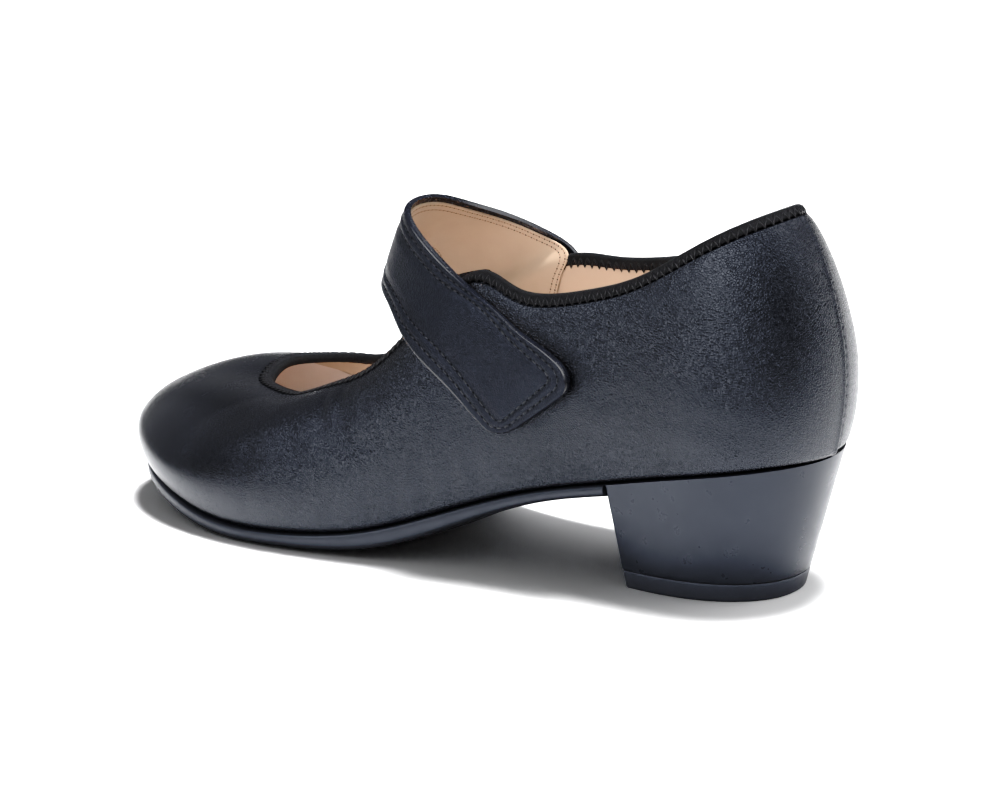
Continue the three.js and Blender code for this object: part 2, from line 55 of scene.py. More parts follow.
SOLE_EDGE = 0.5
INSOLE_THICK = 2.6
BREAST_TOP = 0.232
BREAST_FOOT = 0.223
HEEL_BACK_FOOT = 0.043
HEEL_SQUARE = 2.3
HEEL_TAPER = 0.82
HEEL_PINCH = 0.16
HEEL_SHIFT = 0.040
LIFT_THICK = 5.5
STRAP_THICK = 2.6
TAB_CORNER = 8.0
BALL_LIFT = SOLE_THICK + GAP + 0.5
SHIFT = np.array([0.300, 1.386, 0.0])  # the part's own centring
MM = 0.001

# at side rise topAt topSide topRise turn full bulge, a row per section round the foot
SECTIONS = np.array([
    [0.000, 0.000, 1.000, 0.052, 0.000, 0.985, 62, 2.00, 5.2],
    [0.020, 0.192, 1.000, 0.068, 0.144, 0.972, 62, 2.00, 5.0],
    [0.070, 0.306, 0.965, 0.110, 0.233, 0.925, 62, 2.00, 4.0],
    [0.150, 0.337, 0.870, 0.180, 0.267, 0.835, 60, 2.00, 3.5],
    [0.250, 0.333, 0.725, 0.260, 0.290, 0.775, 60, 2.00, 3.0],
    [0.340, 0.338, 0.580, 0.345, 0.299, 0.757, 62, 2.00, 2.7],
    [0.430, 0.374, 0.380, 0.412, 0.280, 0.790, 66, 2.10, 2.5],
    [0.550, 0.448, 0.110, 0.530, 0.291, 0.565, 72, 2.10, 2.0],
    [0.670, 0.495, 0.000, 0.617, 0.244, 0.442, 80, 2.20, 2.0],
    [0.780, 0.477, 0.000, 0.677, 0.203, 0.383, 84, 2.30, 2.0],
    [0.880, 0.374, 0.110, 0.722, 0.151, 0.358, 86, 2.50, 2.3],
    [0.955, 0.215, 0.215, 0.771, 0.081, 0.350, 88, 2.90, 2.6],
    [1.000, -0.052, 0.280, 0.806, -0.012, 0.350, 88, 3.40, 2.4],
    [0.960, -0.306, 0.225, 0.817, -0.128, 0.368, 88, 3.30, 2.2],
    [0.880, -0.453, 0.110, 0.797, -0.227, 0.370, 86, 2.60, 2.0],
    [0.780, -0.488, 0.015, 0.749, -0.292, 0.374, 84, 2.30, 2.0],
    [0.670, -0.453, 0.020, 0.694, -0.322, 0.397, 80, 2.20, 2.0],
    [0.550, -0.366, 0.145, 0.560, -0.339, 0.557, 72, 2.10, 2.0],
    [0.430, -0.308, 0.410, 0.425, -0.314, 0.733, 66, 2.10, 2.5],
    [0.340, -0.308, 0.610, 0.345, -0.302, 0.747, 62, 2.00, 2.7],
    [0.250, -0.320, 0.750, 0.260, -0.297, 0.770, 60, 2.00, 3.0],
    [0.150, -0.331, 0.885, 0.180, -0.270, 0.825, 60, 2.00, 3.5],
    [0.070, -0.302, 0.965, 0.110, -0.233, 0.915, 62, 2.00, 4.0],
    [0.020, -0.188, 1.000, 0.068, -0.144, 0.968, 62, 2.00, 5.0],
])
TIP_ROW = 12
# at edge crown
SOLE = np.array([
    [0.00, 0.85, 0.3], [0.20, 0.85, 0.3], [0.30, 0.78, 0.5], [0.38, 0.95, 1.2], [0.46, 1.30, 2.2],
    [0.55, 1.35, 2.2], [0.66, 1.00, 1.4], [0.80, 1.00, 1.1], [1.00, 1.00, 0.4],
])
# rearRound rearUp frontRound frontUp lift
STRAP_INNER = np.array([
    [0.806, 0.52, 0.728, 0.46, 0.6],
    [0.800, 0.70, 0.7195, 0.66, 0.7],
    [0.792, 0.88, 0.7135, 0.88, 1.1],
])
# rearSide rearAt rearRise frontSide frontAt frontRise
STRAP_ARCH = np.array([
    [-0.344, 0.450, 0.833, -0.374, 0.634, 0.656],
    [-0.291, 0.492, 0.885, -0.326, 0.633, 0.725],
    [-0.169, 0.520, 0.937, -0.212, 0.624, 0.777],
    [0.012, 0.533, 0.990, -0.012, 0.609, 0.797],
    [0.163, 0.534, 0.995, 0.140, 0.585, 0.771],
    [0.250, 0.520, 0.972, 0.233, 0.567, 0.748],
    [0.308, 0.482, 0.912, 0.300, 0.541, 0.717],
])
STRAP_OUTER = np.array([
    [0.222, 0.95, 0.253, 0.84, 2.0],
    [0.196, 0.82, 0.237, 0.60, 1.5],
    [0.173, 0.74, 0.217, 0.42, 1.2],
    [0.154, 0.63, 0.199, 0.30, 1.1],
    [0.134, 0.47, 0.187, 0.23, 1.4],
])


# Curves and the last.
class Spline:
    """Smooth curve through values at knots, closed when a period is given."""

    def __init__(self, knots, values, period=None):
        k = np.asarray(knots, float)
        v = np.asarray(values, float)
        self.flat = v.ndim == 1
        if self.flat:
            v = v[:, None]
        n = len(k)
        step = np.empty(n)
        step[:-1] = np.diff(k)
        step[-1] = (k[0] + period - k[-1]) if period else 1.0
        a = np.zeros((n, n))
        b = np.zeros((n, v.shape[1]))
        for i in range(n):
            if not period and i in (0, n - 1):
                a[i, i] = 1
                continue
            before, after = step[i - 1], step[i]
            a[i, (i - 1) % n] += before
            a[i, i] += 2 * (before + after)
            a[i, (i + 1) % n] += after
            b[i] = 6 * ((v[(i + 1) % n] - v[i]) / after - (v[i] - v[i - 1]) / before)
        self.k, self.v, self.period, self.step = k, v, period, step
        self.bend = np.linalg.solve(a, b)

    def __call__(self, at):
        x = np.asarray(at, float)
        if self.period:
            x = np.mod(x - self.k[0], self.period) + self.k[0]
        top = len(self.k) - (1 if self.period else 2)
        i = np.clip(np.searchsorted(self.k, x, side="right") - 1, 0, top)
        j = (i + 1) % len(self.k)
        h = self.step[i][..., None]
        b = (x - self.k[i])[..., None] / h
        a = 1 - b
        bent = (a ** 3 - a) * self.bend[i] + (b ** 3 - b) * self.bend[j]
        out = a * self.v[i] + b * self.v[j] + bent * h * h / 6
        return out[..., 0] if self.flat else out


def mix(a, b, k):
    return a + (b - a) * k


def ease(k):
    x = np.clip(k, 0.0, 1.0)
    return x * x * (3 - 2 * x)


def bell(x, width):
    return np.exp(-(np.asarray(x) / width) ** 2)


def unit(v):
    return v / (np.linalg.norm(v, axis=-1)[..., None] + 1e-12)


def run_along(points):
    """Length gone at each point of a line."""
    return np.concatenate([[0], np.cumsum(np.linalg.norm(np.diff(points, axis=0), axis=1))])


def along_y(at):
    return LENGTH * (0.5 - at)


foot_rows = np.stack([SECTIONS[:, 1] * BALL_WIDTH, along_y(SECTIONS[:, 0]),
                      mix(BALL_LIFT, SEAT_HEIGHT, SECTIONS[:, 2])], 1)
top_rows = np.stack([SECTIONS[:, 4] * BALL_WIDTH, along_y(SECTIONS[:, 3]), SECTIONS[:, 5] * BACK_HEIGHT], 1)
gaps = np.hypot(*(np.roll(foot_rows, -1, 0) - foot_rows)[:, :2].T)
WAY = np.concatenate([[0], np.cumsum(gaps)])
ROUND = float(WAY[-1])
WAY = WAY[:-1]
section_rows = np.concatenate([foot_rows, top_rows, np.radians(SECTIONS[:, 6:7]), SECTIONS[:, 7:]], 1)
section_curve = Spline(WAY, section_rows, ROUND)


def foot(q):
    return section_curve(q)[..., :3]


def topline(q):
    return section_curve(q)[..., 3:6]


def outward(q):
    q = np.asarray(q, float)
    d = unit((foot(q + 0.05) - foot(q - 0.05))[..., :2])
    return np.stack([-d[..., 1], d[..., 0]], -1)


def last(q, t):
    """Point of the last at q round the foot and t up the wall."""
    q, t = np.broadcast_arrays(np.asarray(q, float), np.asarray(t, float))
    row = section_curve(q)
    low, high = row[..., :3], row[..., 3:6]
    turn, power, bulge = row[..., 6], 2 / row[..., 7], row[..., 8]
    v = np.abs(np.sin(turn * t)) ** power / np.abs(np.sin(turn)) ** power
    h = (1 - np.abs(np.cos(turn * t)) ** power) / (1 - np.abs(np.cos(turn)) ** power)
    swell = bulge * np.sin(np.pi * np.minimum(1, v) ** 0.8)
    plan = low[..., :2] + (high - low)[..., :2] * h[..., None] + outward(q) * swell[..., None]
    z = low[..., 2] + (high - low)[..., 2] * v
    return np.concatenate([plan, z[..., None]], -1)


def frame_at(q, t):
    q, t = np.broadcast_arrays(np.asarray(q, float), np.asarray(t, float))
    safe = np.maximum(t, 0.004)
    along = last(q + 0.02, safe) - last(q - 0.02, safe)
    up = unit(last(q, np.minimum(1, safe + 0.01)) - last(q, np.maximum(0.004, t - 0.01)))
    out = unit(np.cross(up, along))
    wrong = ((out[..., :2] * outward(q)).sum(-1) < 0) & (t < 0.5)
    return up, np.where(wrong[..., None], -out, out)


def shell(q, t, off=0.0, past=0.0):
    """The last moved off along its normal, and past the topline along the wall."""
    up, out = frame_at(q, t)
    off, past = (np.asarray(x, float) for x in (off, past))
    return last(q, t) + out * off[..., None] + up * past[..., None]


# Depth below the topline, as a table over the way round.
DEPTH_STEP = 0.1
DEPTH_MOST = 14
DEPTH_COLUMNS = 900
table_q = np.linspace(0, ROUND, DEPTH_COLUMNS, endpoint=False)
table_t = np.linspace(1, 0.5, 251)
wall_points = last(table_q[:, None], table_t[None, :])
depth_list = np.arange(0, DEPTH_MOST, DEPTH_STEP)
depth_table = np.stack([np.interp(depth_list, run_along(wall), table_t) for wall in wall_points])


def depth_t(q, depth):
    """Height up the wall, as t, at a depth below the topline."""
    q, depth = np.broadcast_arrays(np.asarray(q, float), np.asarray(depth, float))
    x = np.mod(q, ROUND) / ROUND * DEPTH_COLUMNS
    y = np.clip(depth, 0, DEPTH_MOST - 2 * DEPTH_STEP) / DEPTH_STEP
    i, j = np.floor(x).astype(int), np.floor(y).astype(int)
    k, m = x - i, y - j
    here, after = i % DEPTH_COLUMNS, (i + 1) % DEPTH_COLUMNS
    a, b = depth_table[here, j], depth_table[here, j + 1]
    c, d = depth_table[after, j], depth_table[after, j + 1]
    return mix(mix(a, b, m), mix(c, d, m), k)


def tape(q):
    at = 0.5 - topline(q)[..., 1] / LENGTH
    return mix(TAPE_COLLAR, TAPE_THROAT, ease((at - 0.48) / 0.2))


# The back seam wanders a little to the inner side towards the collar.
SEAM_TOP = -3.6
seam_curve = Spline([0, 0.12, 0.27, 0.40, 0.52, 0.65, 0.80, 1.0],
                    [-0.3, 0.1, -0.8, -1.6, -2.1, -2.7, -3.2, SEAM_TOP])


def near(q):
    """Way round from the back seam, minus on the inner side."""
    q = np.mod(q, ROUND)
    return np.where(q > ROUND / 2, q - ROUND, q)


# Meshes.
VOLUME_FACES = 40000


def make(name, points, faces, material, sharp=None, uv=None, face_material=None, closed=True):
    points = np.asarray(points, float).reshape(-1, 3)
    faces = [list(map(int, f)) for f in faces]
    if closed:
        # the sign of a volume summed over a share of the faces tells which way they look
        size = 0.0
        for f in faces[:: max(1, len(faces) // VOLUME_FACES)]:
            a = points[f[0]]
            for m in range(1, len(f) - 1):
                size += np.dot(a, np.cross(points[f[m]], points[f[m + 1]]))
        if size < 0:
            faces = [f[::-1] for f in faces]
            if uv is not None:
                uv = [u[::-1] for u in uv]
    me = bpy.data.meshes.new(name)
    me.from_pydata(((points - SHIFT) * MM).tolist(), [], faces)
    me.polygons.foreach_set("use_smooth", [True] * len(me.polygons))
    for m in (material if isinstance(material, (list, tuple)) else [material]):
        me.materials.append(m)
    if face_material is not None:
        me.polygons.foreach_set("material_index", [int(i) for i in face_material])
    if uv is not None:
        layer = me.uv_layers.new(name="UVMap")
        layer.data.foreach_set("uv", np.concatenate([np.asarray(u, float).ravel() for u in uv]))
    if sharp:
        me.set_sharp_from_angle(angle=math.radians(sharp))
    ob = bpy.data.objects.new(name, me)
    bpy.context.collection.objects.link(ob)
    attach(ob, "root")
    return ob


def grid_faces(nu, nv, close_u, close_v):
    iu = np.arange(nu if close_u else nu - 1)
    iv = np.arange(nv if close_v else nv - 1)
    a, b = np.meshgrid(iu, iv, indexing="ij")
    a, b = a.ravel(), b.ravel()
    c, d = (a + 1) % nu, (b + 1) % nv
    return np.stack([a * nv + b, a * nv + d, c * nv + d, c * nv + b], 1)


def grid(name, points, material, close_u, uv=None, rows_material=None, sharp=None):
    """A tube of ring sections: closed round v, and closed in u or capped at both ends."""
    nu, nv = points.shape[:2]
    faces = grid_faces(nu, nv, close_u, True)
    long = nu if close_u else nu - 1
    uvs, ids = None, None
    if uv is not None:
        i, j = (x.ravel() for x in np.meshgrid(np.arange(long), np.arange(nv), indexing="ij"))
        uvs = list(np.stack([uv[i, j], uv[i, j + 1], uv[i + 1, j + 1], uv[i + 1, j]], 1))
    faces = faces.tolist()
    if not close_u:
        faces.append(list(range(nv))[::-1])
        faces.append([(nu - 1) * nv + k for k in range(nv)])
    if rows_material is not None:
        ids = np.concatenate([np.tile(rows_material, long), [0, 0]])
    return make(name, points, faces, material, uv=uvs, face_material=ids, sharp=sharp)


def settle(ob, sharp=None):
    """Turn all faces outward."""
    bm = bmesh.new()
    bm.from_mesh(ob.data)
    bmesh.ops.recalc_face_normals(bm, faces=bm.faces)
    bm.to_mesh(ob.data)
    bm.free()
    if sharp:
        ob.data.set_sharp_from_angle(angle=math.radians(sharp))
    return ob


def threads(name, runs, material, radius, sides, flat, tips):
    """Thread lengths: each run is its points and the surface's normals there."""
    pts, faces = [], []
    count = 0
    turn = np.linspace(0, 2 * np.pi, sides, endpoint=False)
    for p, n in runs:
        p = np.asarray(p, float)
        n = unit(np.asarray(n, float))
        tangent = unit(np.gradient(p, axis=0))
        side = unit(np.cross(tangent, n))
        size = np.full(len(p), radius)
        size[[0, -1]] *= tips
        wide = np.cos(turn)[None, :, None] * side[:, None, :]
        high = flat * np.sin(turn)[None, :, None] * n[:, None, :]
        ring = p[:, None, :] + size[:, None, None] * (wide + high)
        pts.append(ring.reshape(-1, 3))
        faces.extend((grid_faces(len(p), sides, False, True) + count).tolist())
        faces.append([count + k for k in range(sides)])
        faces.append([count + (len(p) - 1) * sides + k for k in range(sides)][::-1])
        count += len(p) * sides
    return settle(make(name, np.concatenate(pts), faces, material, closed=False))


# Materials.
class Nodes:
    """Short hand for a node tree."""

    def __init__(self, tree, place):
        self.t = tree
        self.place = self.node("ShaderNodeTexCoord").outputs[place]

    def node(self, kind, **values):
        n = self.t.nodes.new(kind)
        for k, v in values.items():
            setattr(n, k, v)
        return n

    def link(self, a, b):
        self.t.links.new(a, b)

    def feed(self, socket, value):
        """Link a socket, or set it when the value is a number or a tuple."""
        if isinstance(value, (int, float, tuple)):
            socket.default_value = value
        else:
            self.link(value, socket)

    def noise(self, scale, detail=3.0, rough=0.55, output="Fac"):
        n = self.node("ShaderNodeTexNoise")
        self.link(self.place, n.inputs["Vector"])
        for k, v in (("Scale", scale), ("Detail", detail), ("Roughness", rough)):
            n.inputs[k].default_value = v
        return n.outputs[output]

    def voronoi(self, scale, feature="F1", where=None):
        n = self.node("ShaderNodeTexVoronoi", feature=feature)
        self.link(where or self.place, n.inputs["Vector"])
        n.inputs["Scale"].default_value = scale
        return n.outputs["Distance"]

    def wave(self, scale, direction, distort, where):
        n = self.node("ShaderNodeTexWave", bands_direction=direction)
        self.link(where, n.inputs["Vector"])
        n.inputs["Scale"].default_value = scale
        n.inputs["Distortion"].default_value = distort
        return n.outputs["Fac"]

    def ramp(self, value, stops):
        n = self.node("ShaderNodeValToRGB")
        self.link(value, n.inputs["Fac"])
        while len(n.color_ramp.elements) < len(stops):
            n.color_ramp.elements.new(0.5)
        for e, (at, c) in zip(n.color_ramp.elements, stops):
            e.position = at
            e.color = (*c, 1.0)
        return n.outputs["Color"]

    def span(self, value, a, b, c, d):
        n = self.node("ShaderNodeMapRange")
        self.link(value, n.inputs["Value"])
        for k, v in zip(("From Min", "From Max", "To Min", "To Max"), (a, b, c, d)):
            n.inputs[k].default_value = v
        return n.outputs["Result"]

    def math(self, kind, a, b):
        n = self.node("ShaderNodeMath", operation=kind)
        self.feed(n.inputs[0], a)
        self.feed(n.inputs[1], b)
        return n.outputs[0]

    def vector(self, kind, a, b):
        n = self.node("ShaderNodeVectorMath", operation=kind)
        self.feed(n.inputs[0], a)
        self.feed(n.inputs[1], b)
        return n.outputs["Value" if kind == "DOT_PRODUCT" else "Vector"]

    def bump(self, value, strength, distance, before=None):
        n = self.node("ShaderNodeBump")
        self.link(value, n.inputs["Height"])
        n.inputs["Distance"].default_value = distance
        self.feed(n.inputs["Strength"], strength)
        if before is not None:
            self.link(before, n.inputs["Normal"])
        return n.outputs["Normal"]


class Surface(Nodes):
    """A material's nodes, with its shader's sockets."""

    def __init__(self, name):
        self.m = bpy.data.materials.new(name)
        self.m.use_nodes = True
        super().__init__(self.m.node_tree, "Object")
        self.out = self.t.nodes["Principled BSDF"]

    def set(self, **values):
        for k, v in values.items():
            self.out.inputs[k.replace("_", " ")].default_value = v

    def color(self, value):
        self.link(value, self.out.inputs["Base Color"])

    def rough(self, value, low, high):
        """Roughness between two values, uneven as the value is."""
        self.link(self.span(value, 0.3, 0.7, low, high), self.out.inputs["Roughness"])

    def normal(self, value):
        self.link(value, self.out.inputs["Normal"])


COOL_TINT = (0.80, 0.86, 1.0, 1.0)
GRAIN_STRENGTH = 0.60


def leather(name, dark, light, rough, grain, spec, smooth_toe):
    """Fine pebbled grain over a soft unevenness, with painted shade darkening the colour in the grain's
    hollows.
    """
    s = Surface(name)
    scattered = s.vector("MULTIPLY", s.noise(grain * 0.6, 2.0, 0.5, "Color"), (0.0007,) * 3)
    cells = s.voronoi(grain, "DISTANCE_TO_EDGE", s.vector("ADD", s.place, scattered))
    pebble = s.span(cells, 0.0, 0.30, 0.0, 1.0)
    height = s.math("ADD", pebble, s.math("MULTIPLY", s.noise(grain * 2.2, 2), 0.5))
    amount = s.span(s.noise(28, 3), 0.3, 0.7, GRAIN_STRENGTH * 0.8, GRAIN_STRENGTH * 1.1)
    if smooth_toe:
        split = s.node("ShaderNodeSeparateXYZ")
        s.link(s.place, split.inputs["Vector"])
        amount = s.math("MULTIPLY", amount, s.span(split.outputs["Y"], -0.105, -0.015, 0.22, 1.0))
    # random tone, and painted shade: the colour is darker in the hollows between the pebbles
    tone_and_hollow_shade = s.math("MULTIPLY", s.noise(45, 4), s.span(pebble, 0.0, 1.0, 0.72, 1.0))
    s.color(s.ramp(tone_and_hollow_shade, [(0.25, dark), (0.70, light)]))
    soft = s.bump(s.noise(120, 2), 0.10, 0.0004)
    s.normal(s.bump(height, amount, 0.00014, soft))
    cavity = s.math("MULTIPLY", s.span(pebble, 0.0, 0.6, 0.14, 0.0), amount)
    uneven = s.span(s.noise(90, 4), 0.3, 0.7, rough - 0.02, rough + 0.03)
    s.link(s.math("ADD", uneven, cavity), s.out.inputs["Roughness"])
    s.set(Specular_IOR_Level=spec, Specular_Tint=COOL_TINT, IOR=1.5)
    return s


black_leather = leather("leather_black", (0.0016, 0.0019, 0.0034), (0.0034, 0.0040, 0.0065),
                        0.235, 1500.0, 0.52, True)
strap_leather = leather("leather_strap", (0.0022, 0.0028, 0.0055), (0.0044, 0.0055, 0.0092),
                        0.34, 1600.0, 0.36, False)


def around(s, value, color, low, high):
    """A colour that goes darker and lighter with a value."""
    s.color(s.ramp(value, [(0.3, tuple(c * low for c in color)), (0.7, tuple(c * high for c in color))]))


def edge_paint(name, color, rough):
    s = Surface(name)
    around(s, s.noise(300, 3), color, 0.8, 1.3)
    s.rough(s.noise(700, 2), rough - 0.06, rough + 0.08)
    s.normal(s.bump(s.noise(1400, 2), 0.2, 0.00006))
    s.set(Specular_IOR_Level=0.55)
    return s


strap_edge = edge_paint("strap_edge", (0.0075, 0.0085, 0.0125), 0.24)


def lining(name, dark, light, rough):
    """Smooth lining leather with pores and a soft mottle."""
    s = Surface(name)
    s.color(s.ramp(s.noise(38, 5, 0.6), [(0.28, dark), (0.72, light)]))
    pit = s.span(s.voronoi(2100), 0.0, 0.35, 0.0, 1.0)
    s.normal(s.bump(s.math("ADD", pit, s.noise(900, 4)), 0.25, 0.00006))
    s.rough(s.noise(70, 3), rough - 0.04, rough + 0.06)
    s.set(Specular_IOR_Level=0.45)
    return s


quarter_beige = lining("lining_beige", (0.44, 0.325, 0.240), (0.50, 0.375, 0.280), 0.66)
# the same lining leather a little darker on the strap: painted shade
strap_beige_shaded = lining("lining_strap_shaded", (0.41, 0.305, 0.220), (0.47, 0.355, 0.262), 0.66)
vamp_pink = lining("lining_vamp", (0.66, 0.560, 0.500), (0.72, 0.630, 0.580), 0.38)
sock_pink = lining("sock_leather", (0.76, 0.640, 0.570), (0.84, 0.730, 0.660), 0.34)


def textile(name, dark, light):
    """Woven tape: a diagonal rib, cross threads and loops, in mm along and across the tape."""
    s = Surface(name)
    place = s.node("ShaderNodeTexCoord").outputs["UV"]
    rib = s.math("MULTIPLY", s.wave(1.15, "DIAGONAL", 1.2, place), 0.5)
    cross = s.math("MULTIPLY", s.wave(1.9, "X", 2.0, place), 0.4)
    height = s.math("ADD", rib, s.math("ADD", cross, s.voronoi(1.9, where=place)))
    # the colour follows the weave's height: painted shade in its hollows and painted highlight on its raised
    # threads
    s.color(s.ramp(height, [(0.35, dark), (0.95, light)]))
    s.normal(s.bump(height, 0.95, 0.00040))
    s.set(Roughness=0.58, Specular_IOR_Level=0.34)
    return s


tape_black = textile("tape_black", (0.0030, 0.0030, 0.0036), (0.0190, 0.0195, 0.0225))


def yarn(name, color, rough, sheen, spec):
    s = Surface(name)
    twist = s.noise(3200, 2)
    around(s, twist, color, 0.7, 1.35)
    s.normal(s.bump(twist, 0.5, 0.00008))
    s.set(Roughness=rough, Sheen_Weight=sheen, Specular_IOR_Level=spec)
    return s


thread_black = yarn("thread_black", (0.0045, 0.0045, 0.0060), 0.36, 0.0, 0.5)
thread_navy = yarn("thread_navy", (0.006, 0.007, 0.011), 0.34, 0.0, 0.55)
thread_brown = yarn("thread_brown", (0.24, 0.11, 0.065), 0.6, 0.2, 0.4)
# dark flat discs at the needle holes: painted shade of the holes, black on the strap and brown on its lining
hole_shade_dark = yarn("hole_shade_dark", (0.0025, 0.0025, 0.003), 0.9, 0.0, 0.1)
hole_shade_brown = yarn("hole_shade_brown", (0.045, 0.020, 0.014), 0.8, 0.0, 0.2)


def rubber(name, dark, light, rough, spec=0.5, relief=0.25):
    """Rubber with a fine relief, or smooth lacquer when the relief is nought."""
    s = Surface(name)
    s.color(s.ramp(s.noise(60, 4), [(0.3, dark), (0.7, light)]))
    if relief:
        s.normal(s.bump(s.noise(1800, 3), relief, 0.00005))
    s.rough(s.noise(220, 3), rough - 0.05, rough + 0.06)
    s.set(Specular_IOR_Level=spec, Specular_Tint=COOL_TINT)
    return s


sole_black = rubber("sole_black", (0.0080, 0.0090, 0.0120), (0.0130, 0.0142, 0.0182), 0.40)
lift_black = rubber("lift_black", (0.024, 0.026, 0.032), (0.031, 0.033, 0.040), 0.48, 0.45)
heel_satin = rubber("heel_satin", (0.0125, 0.0140, 0.0185), (0.0160, 0.0180, 0.0235), 0.31, 0.40, 0.0)

# Upper leather.
seam_u = np.array([-6, -4.5, -3.4, -2.7, -2.2, -1.8, -1.45, -1.15, -0.9, -0.68, -0.5, -0.34, -0.2, -0.08,
                   0.04, 0.16, 0.28, 0.42, 0.6, 0.85, 1.2, 1.7, 2.4, 3.4, 4.6, 6.0])
columns_u = np.concatenate([seam_u, np.linspace(6.0, ROUND - 6.0, 380)[1:-1]])
STITCH_PITCH = 2.65
BACK_RUN = 78.0


def seam_warp(u, t):
    """The way round for a column: near the back it follows the seam."""
    return u + seam_curve(t) * (1 - ease((np.abs(near(u)) - 7) / 40))


# at side t turn length width depth: creases and waves in the leather, listed one by one
CREASES = [
    (0.615, 1, 0.74, 62, 13, 1.7, 0.26), (0.640, 1, 0.66, 54, 11, 1.5, 0.20),
    (0.590, 1, 0.62, 70, 12, 2.0, 0.18), (0.560, 1, 0.40, 24, 16, 3.0, 0.20),
    (0.500, 1, 0.34, 12, 20, 3.4, 0.16), (0.655, 1, 0.40, 40, 14, 2.6, 0.16),
    (0.400, 1, 0.10, 84, 6, 1.9, 0.20), (0.435, 1, 0.09, 96, 6, 1.7, 0.24),
    (0.470, 1, 0.10, 88, 7, 2.1, 0.22), (0.505, 1, 0.09, 98, 6, 1.8, 0.20),
    (0.545, 1, 0.10, 90, 6, 2.2, 0.18), (0.590, 1, 0.09, 94, 5, 1.8, 0.14),
    (0.720, 1, 0.22, 70, 9, 3.0, 0.12), (0.300, 1, 0.30, 14, 26, 4.2, 0.26),
    (0.180, 1, 0.36, 4, 22, 4.0, 0.22), (0.230, 1, 0.93, 16, 20, 2.6, 0.16),
    (0.330, 1, 0.92, 8, 16, 2.4, 0.14), (0.420, 1, 0.80, 38, 9, 1.8, 0.16),
    (0.045, 1, 0.62, 86, 12, 2.6, 0.16), (0.090, 1, 0.20, 20, 14, 3.0, 0.18),
    (0.610, -1, 0.74, -60, 12, 1.8, 0.24), (0.645, -1, 0.64, -50, 11, 1.6, 0.20),
    (0.570, -1, 0.44, -24, 18, 3.2, 0.20), (0.400, -1, 0.10, 86, 6, 1.9, 0.22),
    (0.440, -1, 0.09, 94, 6, 1.7, 0.20), (0.485, -1, 0.10, 88, 7, 2.1, 0.22),
    (0.530, -1, 0.09, 92, 6, 1.9, 0.18), (0.260, -1, 0.34, -12, 26, 4.2, 0.24),
    (0.100, -1, 0.30, -10, 18, 3.6, 0.20), (0.860, 1, 0.62, 80, 14, 4.5, 0.10),
    (0.870, -1, 0.60, 78, 13, 4.5, 0.10),
]


def crease_off(u, t):
    """Each crease is a hollow with a low swell beside it."""
    x = near(u)
    total = np.zeros(np.broadcast(u, t).shape)
    for at, side, t0, turn, length, width, depth in CREASES:
        rows = slice(0, TIP_ROW + 1) if side > 0 else slice(None, TIP_ROW - 1, -1)
        q0 = float(np.interp(at, SECTIONS[rows, 0], WAY[rows])) - (0 if side > 0 else ROUND)
        rise = float((topline(np.array(q0)) - foot(np.array(q0)))[2])
        du, dt = (x - q0), (t - t0) * max(30.0, rise)
        c, d = math.cos(math.radians(turn)), math.sin(math.radians(turn))
        along, across = du * c + dt * d, dt * c - du * d
        across = across + 0.10 * np.sin(along * 0.55 + at * 40) * width
        fade = bell(along, length)
        swell = 0.45 * depth * bell(across - 1.9 * width, width * 1.1)
        total += (-depth * bell(across, width) + swell) * fade
    return total


def leather_off(u, t):
    """How far the outer leather stands off the last, in mm."""
    x = near(u)
    step = np.where(x > 0, LAP_STEP * (1 - ease(x / LAP_REACH)), 0.0)
    edge = -0.85 * bell(x + 0.15, 0.50) - 0.24 * bell(x + 1.0, 0.9) + 0.34 * bell(x - 1.0, 0.55)
    run = t * BACK_RUN
    tick = np.maximum(0, np.cos(2 * np.pi * run / STITCH_PITCH)) ** 2
    pull = (0.12 - 0.62 * tick) * bell(x + 0.65, 0.85)
    toe = ease((np.abs(x) - 205) / 40)
    set_low = toe * (0.95 * bell(t - 0.13, 0.10) - 0.45 * bell(t - 0.45, 0.18))
    # soft padded band under the tape, behind the strap
    reach = np.where(x > 0, 128.0, 106.0)
    pad = 0.95 * ease((1 - t) / 0.15) * ease((t - 0.42) / 0.42) * ease((reach - np.abs(x)) / 22)
    return step + edge + pull + set_low + pad + crease_off(u, t) * (1 - bell(x, 3.0))


def feather_tuck(height):
    """The leather turns in just above the sole."""
    k = np.clip(1 - height / 1.7, 0, 1)
    return -0.95 * k * k


